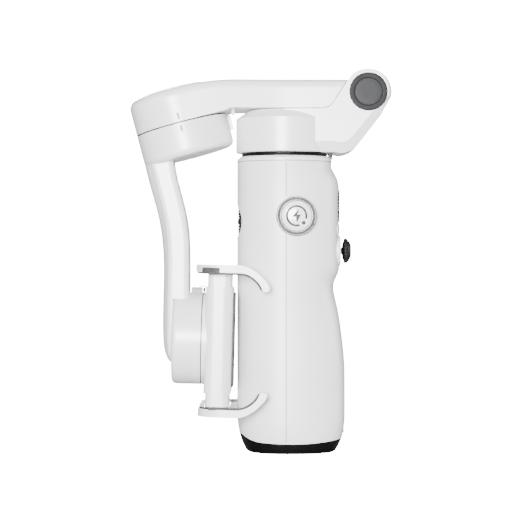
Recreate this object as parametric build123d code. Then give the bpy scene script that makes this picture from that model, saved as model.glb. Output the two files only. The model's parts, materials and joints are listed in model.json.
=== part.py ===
# Folding three-axis phone gimbal, modelled folded up, as it is stored in a bag.
# Millimetres, +Z up. The origin is the mouth of the tripod thread, in the flat base on the pan axis.
# +X is the thumb side of the handle, -X the side the phone clamp folds against, -Y the wheel side.
import os
from math import atan2, cos, pi, radians, sin, sqrt, tan

from build123d import *

# ---- driving dimensions -------------------------------------------------------------------------
wall = 2.0                      # plastic wall of the large mouldings
running_gap = 0.05              # radial clearance of a shaft in its bearing
body_gap = 0.35                 # open gap between two parts that turn past each other

# handle: stations up the grip as (height, rear, front, half width, fullness of the front corners)
grip_stations = [
    (0.0, 17.2, 23.4, 16.8, 0.74),
    (2.0, 18.3, 24.5, 17.5, 0.74),
    (5.0, 19.7, 26.0, 18.3, 0.74),
    (9.0, 20.9, 27.2, 18.9, 0.74),
    (13.0, 21.6, 27.8, 19.2, 0.74),
    (18.0, 21.9, 28.0, 19.3, 0.74),
    (28.0, 21.9, 28.0, 19.3, 0.74),
    (41.0, 21.9, 27.8, 19.2, 0.74),
    (50.0, 21.9, 27.0, 19.0, 0.74),
    (60.0, 21.9, 25.7, 18.8, 0.74),
    (68.0, 21.9, 24.2, 18.8, 0.74),
    (74.0, 21.9, 22.9, 18.9, 0.74),
    (78.5, 21.9, 23.1, 19.0, 0.74),
    (83.0, 21.9, 25.0, 19.2, 0.74),
    (88.0, 21.9, 25.3, 19.4, 0.74),
    (104.0, 21.9, 25.2, 19.9, 0.74),
    (119.0, 21.9, 25.2, 20.5, 0.735),
    (124.5, 21.9, 24.9, 20.9, 0.73),
    (128.5, 21.9, 23.2, 21.3, 0.72),
    (133.5, 21.9, 21.9, 21.9, 0.7071),
]
shell_top = 133.5
seam_x = 0.5                    # parting plane between the rear and the front half
seam_groove = 0.3
cap_line = [(-27, 13.2), (-20.3, 8.9), (-15.5, 6.2), (-9.5, 5.2), (16, 5.2), (30, 6.9)]

# tripod socket, 1/4 inch 20 UNC
tripod_hole = 2.6               # radius at the thread crests
tripod_depth = 8.0
tripod_body = 5.0

# controls on the handle
wheel_x, wheel_z = 5.2, 108.5
wheel_outer, wheel_inner = 8.8, 6.95
wheel_base_y, wheel_front_y = -20.9, -24.0
stick_z, stick_pivot_x = 92.8, 22.0
stick_radius = 5.7
trigger_z, trigger_half_y, trigger_half_z = 106.35, 7.9, 6.55
panel_low, panel_high, panel_half = 106.2, 121.2, 5.6
button_z, button_y, button_radius = 102.7, 4.4, 2.4

# battery inside the grip
battery_x, battery_radius, battery_low, battery_length = -5.5, 9.15, 22.0, 65.0

# the three motors share these
shaft_radius = 2.5
bearing_radius = 5.0
post_radius = 6.2               # fixed post that carries the bearings and the stator
stator_radius = 15.0
magnet_inner, magnet_outer = 15.6, 18.4
magnet_seat = 19.2              # bore that the magnet ring sits in

# pan motor on top of the handle
collar_top = 136.1
collar_radius = 21.9
pan_seam = 137.9
pan_radius = 22.4
pan_shoulder = 153.6
pan_top = 157.55
arm_corner = (20.4, pan_top)    # where the top of the pan arm turns up to the hinge
corner_radius = 6.0

# fold hinge between the pan arm and the upper arm
hinge_x, hinge_z = 38.0, 165.2
boss_radius = 10.7
plate_outer, plate_inner = 17.6, 12.2
bevel_width, bevel_depth = 4.4, 2.6
tongue_half, tongue_radius = 11.9, 10.35

# upper arm
arm_low, arm_high, arm_half = 157.9, 171.0, 17.6

# tilt motor, its axis leaning from the vertical
tilt_x, tilt_z, tilt_lean = -47.7, 151.3, 14.8
motor_radius = 21.35
tilt_above, tilt_below = 15.8, 15.5
seam_gap = 0.6
arm_edge_radius = 4.0           # rounding of the arm's top edges
arm_bend_radius = 100.0         # soft bend where the motor's top meets the level beam

# swing arm: stations up the strut as (height, outer edge, inner edge, half width, bow of the outer face)
swing_stations = [
    (41.2, -52.7, -43.8, 5.5, 0.5),
    (43.0, -54.2, -43.8, 8.2, 1.0),
    (47.0, -55.6, -43.8, 10.4, 1.6),
    (54.0, -56.3, -43.8, 11.0, 2.0),
    (74.0, -56.1, -43.8, 11.0, 2.0),
    (92.0, -56.2, -43.8, 11.0, 2.2),
    (106.0, -57.9, -44.8, 11.0, 2.6),
    (121.0, -61.8, -48.3, 11.1, 3.0),
    (131.0, -64.4, -50.6, 11.3, 3.1),
    (140.0, -66.7, -51.6, 11.6, 3.3),
]
swing_corner = 2.6              # radius of the strut's long edges

# roll motor and phone clamp; the whole group leans a little towards the handle
roll_x, roll_z, clamp_lean = -38.1, 52.3, 1.5
roll_radius, roll_back = 21.3, -51.7
sleeve_back, sleeve_front, sleeve_half_y, sleeve_half_z = -36.5, -24.0, 23.0, 24.1
sleeve_wall = 0.7
slider_gap = 0.15
slider_wall = 1.3
slider_inner_end = 2.7          # height of the sliders' inner ends from the clamp centre, closed
jaw_half_y, prong_inner = 30.0, 25.0
upper_jaw_back, lower_jaw_back = -41.1, -38.8
jaw_low, jaw_high = 30.8, 34.3  # underside and top of the strip from the clamp centre
hook_start = -22.0              # where the strip starts to bend; points are (x, drop below the top face)
hook_outside = [(hook_start, 0), (-17.9, 0.8), (-12.9, 3.6), (-9.1, 7.3), (-7.5, 10.4)]
hook_inside = [(-10.9, 10.6), (-13.7, 6.6), (-17.7, 4.1), (hook_start, 3.5)]
pad_thickness = 0.7
tab_back, tab_front = -38.2, -30.2      # rubber tabs that wrap up over the upper jaw's edges
tab_depth, tab_drop = 0.6, 1.3  # how deep they sit in the edge, and how far below the top they end
notch_x = -24.3
gear_module, gear_teeth = 1.0, 12
rack_reach = 18.0               # how far each rack passes the clamp centre


# ---- helpers ------------------------------------------------------------------------------------
def block(x0, x1, y0, y1, z0, z1):
    return Pos((x0 + x1) / 2, (y0 + y1) / 2, (z0 + z1) / 2) * Box(x1 - x0, y1 - y0, z1 - z0)


def rod(radius, start, end):
    axis = Vector(*end) - Vector(*start)
    plane = Plane(origin=start, z_dir=axis)
    return plane * Cylinder(radius, axis.length, align=(Align.CENTER, Align.CENTER, Align.MIN))


def tube(outer, inner, start, end):
    return rod(outer, start, end) - rod(inner, start, end)


def side_profile(lines, half_width):
    return extrude(Plane.XZ * make_face(lines), half_width, both=True)


# ---- handle shells ------------------------------------------------------------------------------
def station_face(height, rear, front, side, fullness):
    corner_x, corner_y = front * fullness, side * fullness
    nose = Spline((0, -side), (corner_x, -corner_y), (front, 0), tangents=((1, 0), (0, 1)))
    back = EllipticalCenterArc((0, 0), rear, side, start_angle=180, arc_size=90)
    half = nose + back
    return Pos(0, 0, height) * make_face(half + mirror(half, Plane.XZ))


def handle_form(inset):
    faces = [
        station_face(z, rear - inset, front - inset, side - inset, full)
        for z, rear, front, side, full in grip_stations
    ]
    return loft(faces)


def below_cap_line():
    curve = Spline(*cap_line)
    (x0, z0), (x1, z1) = cap_line[0], cap_line[-1]
    frame = Polyline((x1, z1), (x1, -5), (x0, -5), (x0, z0))
    return side_profile(curve + frame, 30)


def racetrack_x(x0, x1, half_y, z0, z1):
    # a slot-shaped prism along X
    middle = (z0 + z1) / 2
    slot = SlotOverall(z1 - z0, 2 * half_y, rotation=90)
    return extrude(Plane(origin=(x0, 0, middle), x_dir=(0, 1, 0), z_dir=(1, 0, 0)) * slot, x1 - x0)


def ellipse_x(x0, x1, half_y, half_z, centre_z):
    plane = Plane(origin=(x0, 0, centre_z), x_dir=(0, 1, 0), z_dir=(1, 0, 0))
    return extrude(plane * Ellipse(half_y, half_z), x1 - x0)


def shell_openings():
    # everything that comes through the handle's skin
    wheel_hole = rod(9.15, (wheel_x, -10, wheel_z), (wheel_x, -30, wheel_z))
    trigger_hole = ellipse_x(-30, -15, trigger_half_y + 0.75, trigger_half_z + 1.1, trigger_z)
    stick_hole = rod(6.1, (18, 0, stick_z), (32, 0, stick_z))
    stick_seat = rod(7.25, (24.0, 0, stick_z), (32, 0, stick_z))
    panel_hole = racetrack_x(23.3, 32, panel_half + 0.05, panel_low - 0.05, panel_high + 0.05)
    usb_hole = extrude(
        Plane(origin=(20, 0, 10.5), x_dir=(0, 1, 0), z_dir=(1, 0, 0)) * SlotOverall(9.1, 3.4), 12
    )
    openings = wheel_hole + trigger_hole + stick_hole + stick_seat + panel_hole + usb_hole
    for side in (-1, 1):
        start = (18, side * button_y, button_z)
        openings += rod(button_radius + 0.1, start, (32, side * button_y, button_z))
    return openings


def handle_shells(outer, inner):
    cavity = inner - block(-40, 40, -40, 40, -5, wall)
    skin = outer - cavity - below_cap_line() - shell_openings()
    groove = block(seam_x - seam_groove / 2, seam_x + seam_groove / 2, -40, 40, -5, shell_top + 1)
    skin -= groove - handle_form(0.6)
    rear = skin & block(-40, seam_x, -40, 40, -5, 150)
    front = skin & block(seam_x, 40, -40, 40, -5, 150)
    return rear, front


def base_cap(outer, inner):
    cap = outer & below_cap_line()
    bottom = cap.edges().group_by(Axis.Z)[0]
    cap = chamfer(bottom, 0.8)
    hollow = inner - block(-40, 40, -40, 40, -5, 2.4)
    cap -= hollow
    cap += rod(tripod_body + 2.5, (0, 0, 2), (0, 0, 10.0))
    for x, y in screw_places():
        cap += rod(3.0, (x, y, 2), (x, y, 6.8))
        cap -= rod(1.1, (x, y, -1), (x, y, 9))
        cap -= rod(2.2, (x, y, -1), (x, y, 1.7))
    return cap - rod(tripod_body, (0, 0, -1), (0, 0, 11))


def screw_places():
    return [(x, y) for x in (-9.5, 14.5) for y in (-9.5, 9.5)]


def base_screws():
    screws = []
    for x, y in screw_places():
        head = rod(2.1, (x, y, 0.5), (x, y, 1.7)) - block(x - 1.5, x + 1.5, y - 0.3, y + 0.3, 0, 1.1)
        head -= block(x - 0.3, x + 0.3, y - 1.5, y + 1.5, 0, 1.1)
        screws.append(head + rod(1.1, (x, y, 1.7), (x, y, 8.6)))
    return Compound(children=screws)


def tripod_insert():
    body = rod(tripod_body, (0, 0, 0), (0, 0, 10.0))
    body = chamfer(body.edges().group_by(Axis.Z)[0], 0.3)
    return body - rod(tripod_hole, (0, 0, -1), (0, 0, tripod_depth))


# ---- inside the handle --------------------------------------------------------------------------
def battery_cell():
    cell = rod(battery_radius, (battery_x, 0, battery_low), (battery_x, 0, battery_low + battery_length))
    top = battery_low + battery_length
    return cell + rod(2.6, (battery_x, 0, top), (battery_x, 0, top + 0.9))


def battery_tray():
    low, high = battery_low - 2.0, battery_low + battery_length + 3.0
    start, end = (battery_x, 0, low), (battery_x, 0, high)
    trough = tube(battery_radius + 1.6, battery_radius + 0.1, start, end)
    trough -= block(battery_x + 3, 40, -30, 30, low - 1, high + 1)
    floor_plate = rod(battery_radius + 1.6, start, (battery_x, 0, battery_low - 0.1))
    roof_plate = rod(battery_radius + 1.6, (battery_x, 0, high - 1.6), end)
    foot = block(-12.0, 17.0, -12.0, 12.0, 10.2, 12.2) - block(12.0, 18.0, -5.5, 5.5, 10, 13)
    legs = block(-12.0, -3.0, -3.0, 3.0, 12.2, low)
    tray = trough + floor_plate + roof_plate + foot + legs
    for x, y in screw_places():
        tray += rod(2.4, (x, y, 6.9), (x, y, 10.2)) - rod(1.1, (x, y, 6.0), (x, y, 8.6))
    return tray


def main_board():
    board = block(14.6, 16.2, -11.5, 11.5, 13.0, 124.0)
    chips = [(70.0, 6.0), (56.0, 8.0), (40.0, 5.0), (113.0, 7.0)]
    for height, size in chips:
        board += block(13.4, 14.6, -size / 2, size / 2, height, height + size)
    return board


def usb_socket():
    plane = Plane(origin=(19.0, 0, 10.5), x_dir=(0, 1, 0), z_dir=(1, 0, 0))
    outer = extrude(plane * SlotOverall(8.9, 3.2), 8.4)
    inner = extrude(Plane(plane, origin=(21.5, 0, 10.5)) * SlotOverall(8.3, 2.6), 8)
    tongue = block(21.5, 26.0, -3.3, 3.3, 10.15, 10.85)
    lead = block(16.2, 19.0, -4.4, 4.4, 9.3, 11.7) + block(14.6, 16.2, -4.4, 4.4, 9.3, 12.9)
    return outer - inner + tongue + lead


# ---- controls -----------------------------------------------------------------------------------
def wheel_seat():
    x, z = wheel_x, wheel_z
    seat = rod(9.1, (x, -15.0, z), (x, wheel_base_y + body_gap, z))
    seat = chamfer(seat.faces().sort_by(Axis.Y)[0].edges(), 0.4)
    seat -= rod(7.6, (x, -14.9, z), (x, -17.0, z))
    seat += rod(wheel_inner - 0.08, (x, -17.0, z), (x, -22.0, z))
    seat -= rod(5.6, (x, -19.5, z), (x, -23.0, z))
    return seat - rod(2.6, (x, -14.0, z), (x, -23.0, z))


def focus_wheel():
    x, z = wheel_x, wheel_z
    ring = tube(wheel_outer, wheel_inner, (x, wheel_base_y, z), (x, wheel_front_y, z))
    front = [e for e in ring.edges() if abs(e.center().Y - wheel_front_y) < 0.01 and e.radius > 8]
    ring = chamfer(front, 0.7)
    back = [e for e in ring.edges() if abs(e.center().Y - wheel_base_y) < 0.01 and e.radius > 8]
    return chamfer(back, 0.3)


def wheel_button():
    x, z = wheel_x, wheel_z
    dome_rise, rim = 0.9, wheel_inner - 0.15
    dome = (rim * rim + dome_rise * dome_rise) / (2 * dome_rise)
    top_y = -24.65
    ball = Pos(x, top_y + dome, z) * Sphere(dome)
    cap = rod(rim, (x, -22.7, z), (x, top_y - 1, z)) & ball
    return cap + rod(2.5, (x, -18.6, z), (x, -22.7, z))


def trigger():
    # follows the round back of the handle and carries raised grip ribs
    bow = ellipse_x(-30, -17.6, trigger_half_y, trigger_half_z, trigger_z)
    bow &= rod(21.75, (0, 0, 90), (0, 0, 120))
    for step in (1.6, 2.9, 4.2, 5.5):
        for side in (-1, 1):
            height = trigger_z + side * step
            ring = tube(23.0, 21.2, (0, 0, height - 0.3), (0, 0, height + 0.3))
            bow -= ring
    return bow + block(-17.6, -15.2, -3.0, 3.0, trigger_z - 2.5, trigger_z + 2.5)


def joystick_bezel():
    z = stick_z
    flange = rod(7.2, (24.0, 0, z), (25.9, 0, z))
    flange = chamfer(flange.faces().sort_by(Axis.X)[-1].edges(), 0.6)
    cup = rod(6.0, (17.8, 0, z), (24.0, 0, z)) - rod(4.75, (19.0, 0, z), (24.0, 0, z))
    bore = Plane(origin=(23.9, 0, z), z_dir=(1, 0, 0)) * Cone(
        3.3, 4.6, 2.1, align=(Align.CENTER, Align.CENTER, Align.MIN)
    )
    bezel = cup + flange - bore
    return bezel - rod(0.75, (stick_pivot_x, -7, z), (stick_pivot_x, 7, z))


def joystick_ring():
    x, z = stick_pivot_x, stick_z
    ring = tube(4.1, 2.95, (x - 0.9, 0, z), (x + 0.9, 0, z))
    ring -= rod(0.65, (x, 0, z - 6), (x, 0, z + 6))
    for side in (-1, 1):
        ring += rod(0.7, (x, side * 3.3, z), (x, side * 5.9, z))
    return ring


def joystick_cap():
    x, z = stick_pivot_x, stick_z
    ball = Pos(x, 0, z) * Sphere(2.6)
    stem = rod(1.5, (x, 0, z), (27.5, 0, z))
    pins = rod(0.6, (x, 0, z - 3.9), (x, 0, z + 3.9))
    # lens-shaped thumb cap: shallow cone behind, dished face in front
    profile = [
        (26.5, 0), (26.5, 2.4), (27.9, stick_radius - 0.1), (28.5, stick_radius),
        (29.2, stick_radius - 0.35), (30.9, 2.6), (30.5, 0),
    ]
    outline = Polyline(*profile, close=True)
    cap = revolve(Plane.XY * make_face(outline), Axis.X)
    return Pos(0, 0, z) * cap + stem + ball + pins


def front_button(side):
    y = side * button_y
    raised = rod(button_radius, (21.5, y, button_z), (32, y, button_z)) & handle_form(-0.35)
    return raised + rod(1.0, (19.2, y, button_z), (21.5, y, button_z))


def display_window():
    plate = racetrack_x(23.3, 32, panel_half, panel_low, panel_high)
    return plate & handle_form(-0.4)


# ---- motors -------------------------------------------------------------------------------------
def stator(plane, low, high, bore, outer):
    # laminated core: hub, twelve teeth and their shoes
    centre = Align.CENTER
    height = high - low
    core = Pos(0, 0, low) * Cylinder(bore + 2.2, height, align=(centre, centre, Align.MIN))
    tooth = Pos(0, 0, low) * Box(outer - 0.4, 2.0, height, align=(Align.MIN, centre, Align.MIN))
    shoe = Pos(outer - 1.4, 0, low) * Box(1.3, 5.6, height, align=(Align.MIN, centre, Align.MIN))
    for index in range(12):
        core += Rot(0, 0, 30 * index) * (tooth + shoe)
    core &= Pos(0, 0, low) * Cylinder(outer, height, align=(centre, centre, Align.MIN))
    core -= Pos(0, 0, low - 1) * Cylinder(bore, height + 2, align=(centre, centre, Align.MIN))
    return plane * core


def sleeve_on(plane, outer, inner, low, high):
    centre = Align.CENTER
    body = Pos(0, 0, low) * Cylinder(outer, high - low, align=(centre, centre, Align.MIN))
    if inner:
        body -= Pos(0, 0, low - 1) * Cylinder(inner, high - low + 2, align=(centre, centre, Align.MIN))
    return plane * body


def bearing_pair(plane, low, high, width=4.0):
    bore = shaft_radius + running_gap
    lower = sleeve_on(plane, bearing_radius, bore, low, low + width)
    return lower + sleeve_on(plane, bearing_radius, bore, high - width, high)


pan_plane = Plane(origin=(0, 0, pan_seam))
lean = radians(tilt_lean)
tilt_up = Vector(-sin(lean), 0, cos(lean))
tilt_plane = Plane(origin=(tilt_x, 0, tilt_z), x_dir=(cos(lean), 0, sin(lean)), z_dir=tilt_up)
roll_plane = Plane(origin=(roll_x, 0, roll_z), x_dir=(0, 0, -1), z_dir=(1, 0, 0))
clamp_place = Pos(roll_x, 0, roll_z) * Rot(0, clamp_lean, 0) * Pos(-roll_x, 0, -roll_z)


def top_collar():
    collar = rod(collar_radius, (0, 0, shell_top), (0, 0, collar_top))
    collar = chamfer(collar.faces().sort_by(Axis.Z)[-1].edges(), 1.1)
    collar += rod(19.4, (0, 0, 130.0), (0, 0, shell_top))
    collar += rod(post_radius, (0, 0, 130.0), (0, 0, 150.0))
    collar -= rod(17.0, (0, 0, 129.0), (0, 0, 132.0))
    collar += rod(post_radius + 1.5, (0, 0, 129.0), (0, 0, 132.0))
    collar -= rod(bearing_radius, (0, 0, 131.0), (0, 0, 151.0))
    collar -= rod(3.5, (0, 0, 128.0), (0, 0, 132.0))
    return collar - block(20.2, 24.0, -2.0, 2.0, 135.2, 137.0)


def pan_seal_ring():
    return tube(19.9, 15.0, (0, 0, collar_top), (0, 0, 137.5))


def pan_stop_block():
    stop = block(20.2, 22.2, -2.0, 2.0, 135.2, 137.55)
    return chamfer(stop.edges().filter_by(Axis.Z), 0.4)


# ---- pan arm ------------------------------------------------------------------------------------
def hinge_tangent(point):
    # where a straight edge that starts at the point meets the hinge boss, on its upper left side
    dx, dz = point[0] - hinge_x, point[1] - hinge_z
    reach = sqrt(dx * dx + dz * dz)
    spread = atan2(sqrt(reach * reach - boss_radius ** 2), boss_radius)
    angle = atan2(dz, dx) - spread
    return hinge_x + boss_radius * cos(angle), hinge_z + boss_radius * sin(angle)


def pan_arm_outline(bevel):
    # side view of the arm; the bevel pulls the front lower edge in, up to the hinge cap
    tangent = hinge_tangent(arm_corner)
    radius = boss_radius - bevel * 0.3
    middle, right = radians(60), radians(-12)
    top = ThreePointArc(
        tangent,
        (hinge_x + (radius + 0.15 * bevel) * cos(middle), hinge_z + (radius + 0.15 * bevel) * sin(middle)),
        (hinge_x + radius * cos(right), hinge_z + radius * sin(right)),
    )
    elbow = (43.7 - 0.72 * bevel, 154.4 + 0.55 * bevel)
    knee = (34.2 - 0.79 * bevel, 142.2 + 0.61 * bevel)
    heel = (25.0 - 0.1 * bevel, 137.3 + 1.1 * bevel)
    edge = FilletPolyline((0, pan_top), arm_corner, tangent, radius=corner_radius) + top
    edge += Polyline(top @ 1, elbow, knee)
    edge += Spline(knee, heel, tangents=((-0.61, -0.79), (-1, -0.02)))
    step = pan_seam + 1.1 * bevel
    return edge + Polyline(heel, (22.6, step), (0, step), (0, pan_top))


def pan_arm():
    reach = side_profile(pan_arm_outline(0), plate_outer - bevel_depth)
    for side in (-1, 1):
        inside = Plane(origin=(0, side * (plate_outer - bevel_depth), 0), x_dir=(1, 0, 0), z_dir=(0, -1, 0))
        face = Plane(origin=(0, side * plate_outer, 0), x_dir=(1, 0, 0), z_dir=(0, -1, 0))
        sections = [inside * make_face(pan_arm_outline(0)), face * make_face(pan_arm_outline(bevel_width))]
        reach += loft(sections, ruled=True)
    drum = rod(pan_radius, (0, 0, pan_seam), (0, 0, pan_shoulder))
    drum = chamfer(drum.faces().sort_by(Axis.Z)[0].edges(), 0.5)
    crown = Pos(0, 0, pan_shoulder) * Cone(
        pan_radius, 16.6, pan_top - pan_shoulder, align=(Align.CENTER, Align.CENTER, Align.MIN)
    )
    arm = reach + drum + crown
    # slot for the upper arm's tongue
    slot = rod(boss_radius + 0.3, (hinge_x, -plate_inner, hinge_z), (hinge_x, plate_inner, hinge_z))
    slot += block(0, hinge_x, -plate_inner, plate_inner, pan_top, hinge_z + 20)
    slot += block(hinge_x, hinge_x + 20, -plate_inner, plate_inner, hinge_z - 3, hinge_z + 20)
    arm -= slot
    # motor cavity, hinge pin bore, cap seats and the alignment groove
    arm -= rod(magnet_seat, (0, 0, pan_seam - 1), (0, 0, 152.0))
    arm -= rod(shaft_radius, (0, 0, 150), (0, 0, 155.0))
    arm -= rod(3.2, (hinge_x, -16.6, hinge_z), (hinge_x, 16.6, hinge_z))
    for side in (-1, 1):
        face = side * plate_outer
        arm -= rod(8.75, (hinge_x, face - side * 1.0, hinge_z), (hinge_x, face + side, hinge_z))
    return arm - block(15.7, 16.1, -20, -plate_outer + 0.4, 154.2, 158)


def hinge_pin():
    return rod(3.2 - 0.02, (hinge_x, -16.6, hinge_z), (hinge_x, 16.6, hinge_z))


def hinge_cap(side):
    face = side * plate_outer
    ring = rod(8.7, (hinge_x, face - side * 1.0, hinge_z), (hinge_x, face + side * 0.5, hinge_z))
    outer_face = ring.faces().sort_by(Axis.Y)[0 if side < 0 else -1]
    ring = chamfer(outer_face.edges(), 0.35)
    if side < 0:
        ring -= rod(6.2, (hinge_x, face - side * 0.4, hinge_z), (hinge_x, face + side, hinge_z))
    return ring


def hinge_insert():
    face = -plate_outer
    disc = rod(6.15, (hinge_x, face + 0.4, hinge_z), (hinge_x, face - 0.3, hinge_z))
    return chamfer(disc.faces().sort_by(Axis.Y)[0].edges(), 0.2)


# ---- upper arm ----------------------------------------------------------------------------------
def hinge_clearance():
    # the room the pan arm's two plates take, with the gap around them
    room = rod(boss_radius + body_gap, (hinge_x, -40, hinge_z), (hinge_x, 40, hinge_z))
    tangent = hinge_tangent(arm_corner)
    dx, dz = tangent[0] - arm_corner[0], tangent[1] - arm_corner[1]
    length = sqrt(dx * dx + dz * dz)
    shift_x, shift_z = -dz / length * body_gap, dx / length * body_gap
    run = (arm_low - arm_corner[1] - shift_z) / dz
    corner = (arm_corner[0] + shift_x + run * dx, arm_low)
    end = (tangent[0] + shift_x, tangent[1] + shift_z)
    seam = FilletPolyline((0, arm_low), corner, end, radius=corner_radius - body_gap)
    seam += Polyline(end, (hinge_x, hinge_z), (hinge_x, arm_low - 5), (0, arm_low - 5), (0, arm_low))
    return room + side_profile(seam, 40)


def upper_arm_side():
    # side view: sloping motor top, a soft bend, the level beam and the seam plane below
    slope = tan(lean)
    top_x, top_z = tilt_x - sin(lean) * tilt_above, tilt_z + cos(lean) * tilt_above
    bend = (top_x + (arm_high - top_z) / slope, arm_high)
    left = -82.0
    edge = FilletPolyline(
        (left, top_z + (left - top_x) * slope), bend, (hinge_x + 20, arm_high), radius=arm_bend_radius
    )
    rotor_right = tilt_x + motor_radius * cos(lean)
    edge += Polyline(
        (hinge_x + 20, arm_high), (hinge_x + 20, arm_low), (rotor_right + 2.4, arm_low),
        (rotor_right + 0.2, tilt_z + (rotor_right + 0.2 - tilt_x) * slope),
        (left, tilt_z + (left - tilt_x) * slope), (left, top_z + (left - top_x) * slope),
    )
    return side_profile(edge, 40)


def upper_arm_plan():
    # looking down the tilt axis: the round motor housing tapers into the beam
    reach = 46.0
    angle = atan2(arm_half, reach)
    run = sqrt(reach ** 2 + arm_half ** 2 - motor_radius ** 2)
    tangent_angle = angle + pi / 2 - atan2(motor_radius, run)
    touch = (motor_radius * cos(tangent_angle), motor_radius * sin(tangent_angle))
    far = 110.0
    side = FilletPolyline(touch, (reach, arm_half), (far, arm_half), radius=120.0)
    outline = side + mirror(side, Plane.XZ)
    outline += Line((far, arm_half), (far, -arm_half))
    outline += ThreePointArc(touch, (-motor_radius, 0), (touch[0], -touch[1]))
    return extrude(tilt_plane * (Pos(0, 0, -20) * make_face(outline)), 60)


def upper_arm():
    body = upper_arm_plan() & upper_arm_side()
    flanks = block(-80, 80, -40, -tongue_half, 150, 180) + block(-80, 80, tongue_half, 40, 150, 180)
    body = soften_upper_arm(body)
    end_room = hinge_clearance() + block(hinge_x - 6, hinge_x + 30, -40, 40, 140, 190)
    arm = body - (flanks & end_room)
    round_end = rod(tongue_radius, (hinge_x, -tongue_half, hinge_z), (hinge_x, tongue_half, hinge_z))
    arm -= block(hinge_x - 9.0, hinge_x + 30, -40, 40, 140, 190) - round_end
    arm += round_end
    arm -= sleeve_on(tilt_plane, magnet_seat, 0, -1, 12.6)
    arm += sleeve_on(tilt_plane, post_radius, 0, -8.0, 13.0)
    arm -= sleeve_on(tilt_plane, bearing_radius, 0, -9.0, 12.6)
    arm -= sleeve_on(tilt_plane, 14.7, 0, tilt_above - 0.8, tilt_above + 5)
    # bore for the hinge bush and a lightening pocket seen from below
    arm -= rod(5.0, (hinge_x, -tongue_half, hinge_z), (hinge_x, tongue_half, hinge_z))
    return arm - block(-14, 24, -10.5, 10.5, 156.0, 168.4)


def soften_upper_arm(body):
    slope = tan(lean)
    top_x, top_z = tilt_x - sin(lean) * tilt_above, tilt_z + cos(lean) * tilt_above

    def on_top(edge):
        point = edge.center()
        height = min(top_z + (point.X - top_x) * slope, arm_high)
        return abs(point.Z - height) < 0.8 and edge.length > 4 and point.X < hinge_x + 15

    rim = [e for e in body.edges() if on_top(e) and not (abs(e.center().Y) < 1 and e.length < 60)]
    return fillet(rim, arm_edge_radius)


def tilt_cover():
    rise, rim, proud = 0.7, 14.6, 1.5
    dome = (rim * rim + rise * rise) / (2 * rise)
    centre = Align.CENTER
    disc = Pos(0, 0, tilt_above - 0.8) * Cylinder(rim, 3.0, align=(centre, centre, Align.MIN))
    disc &= Pos(0, 0, tilt_above + proud - dome) * Sphere(dome)
    return tilt_plane * disc


def tilt_stop_pin():
    return rod(0.8, (-23.7, -9.0, 154.9), (-23.7, -9.0, arm_low))


# ---- swing arm ----------------------------------------------------------------------------------
def swing_section(height, outer, inner, half, bow):
    corner = swing_corner
    shoulder = outer + bow
    points = [
        (inner, -half + corner), (inner - corner, -half),
        (shoulder + corner, -half), (shoulder, -half + corner),
    ]
    side = Line(points[1], points[2])
    side += TangentArc(points[2], points[3], tangent=(-1, 0))
    front = ThreePointArc(points[0], (inner - 0.29 * corner, -half + 0.29 * corner), points[1])
    half_outline = front + side
    other = mirror(half_outline, Plane.XZ)
    crown = ThreePointArc(points[3], (outer, 0), (points[3][0], -points[3][1]))
    back = Line((points[0][0], -points[0][1]), points[0])
    return Pos(0, 0, height) * make_face(half_outline + crown + other + back)


def swing_arm():
    strut = loft([swing_section(*station) for station in swing_stations])
    cup = sleeve_on(tilt_plane, motor_radius, 0, -tilt_below, -seam_gap)
    low_rim = cup.edges().filter_by(GeomType.CIRCLE).sort_by(Axis.Z)[0]
    cup = fillet([low_rim], 3.0)
    arm = cup + strut
    arm -= sleeve_on(tilt_plane, motor_radius + 20, 0, -seam_gap, 40)
    arm -= sleeve_on(tilt_plane, magnet_seat, 0, -12.2, 1)
    arm -= sleeve_on(tilt_plane, shaft_radius, 0, -13.4, 1)
    room = clamp_place * sleeve_on(roll_plane, roll_radius, 0, roll_back - roll_x, 40)
    arm -= room
    # stop lug on the side of the rotor
    lug = tilt_plane * (Pos(motor_radius + 0.4, 4.0, -4.5) * Box(2.6, 4.0, 6.5))
    lug -= sleeve_on(tilt_plane, 20.0, 0, -20, 20)
    return arm + lug


# ---- roll motor ---------------------------------------------------------------------------------
def roll_housing():
    depth = roll_back - roll_x
    body = sleeve_on(roll_plane, roll_radius, 0, depth, -0.25)
    back = body.edges().filter_by(GeomType.CIRCLE).sort_by(Axis.X)[0]
    body = fillet([back], 2.2)
    body -= sleeve_on(roll_plane, magnet_seat, 0, depth + 2.0, 1)
    body += sleeve_on(roll_plane, post_radius, 0, depth + 1.0, -3.0)
    body -= sleeve_on(roll_plane, bearing_radius, 0, depth + 2.0, 1)
    return clamp_place * body


def roll_stop():
    stop = block(-43.6, -38.6, -4.0, 4.0, roll_z + roll_radius - 0.6, roll_z + roll_radius + 2.3)
    stop -= sleeve_on(roll_plane, roll_radius, 0, -30, 5)
    return clamp_place * chamfer(stop.edges().filter_by(Axis.X).group_by(Axis.Z)[-1], 0.6)


def roll_rotor():
    # magnet ring hung from the clamp's back plate into the motor housing
    return clamp_place * sleeve_on(roll_plane, magnet_outer, magnet_inner, -11.0, 0.2)


def roll_shaft():
    return clamp_place * sleeve_on(roll_plane, shaft_radius, 0, -11.2, 0.9)


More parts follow.
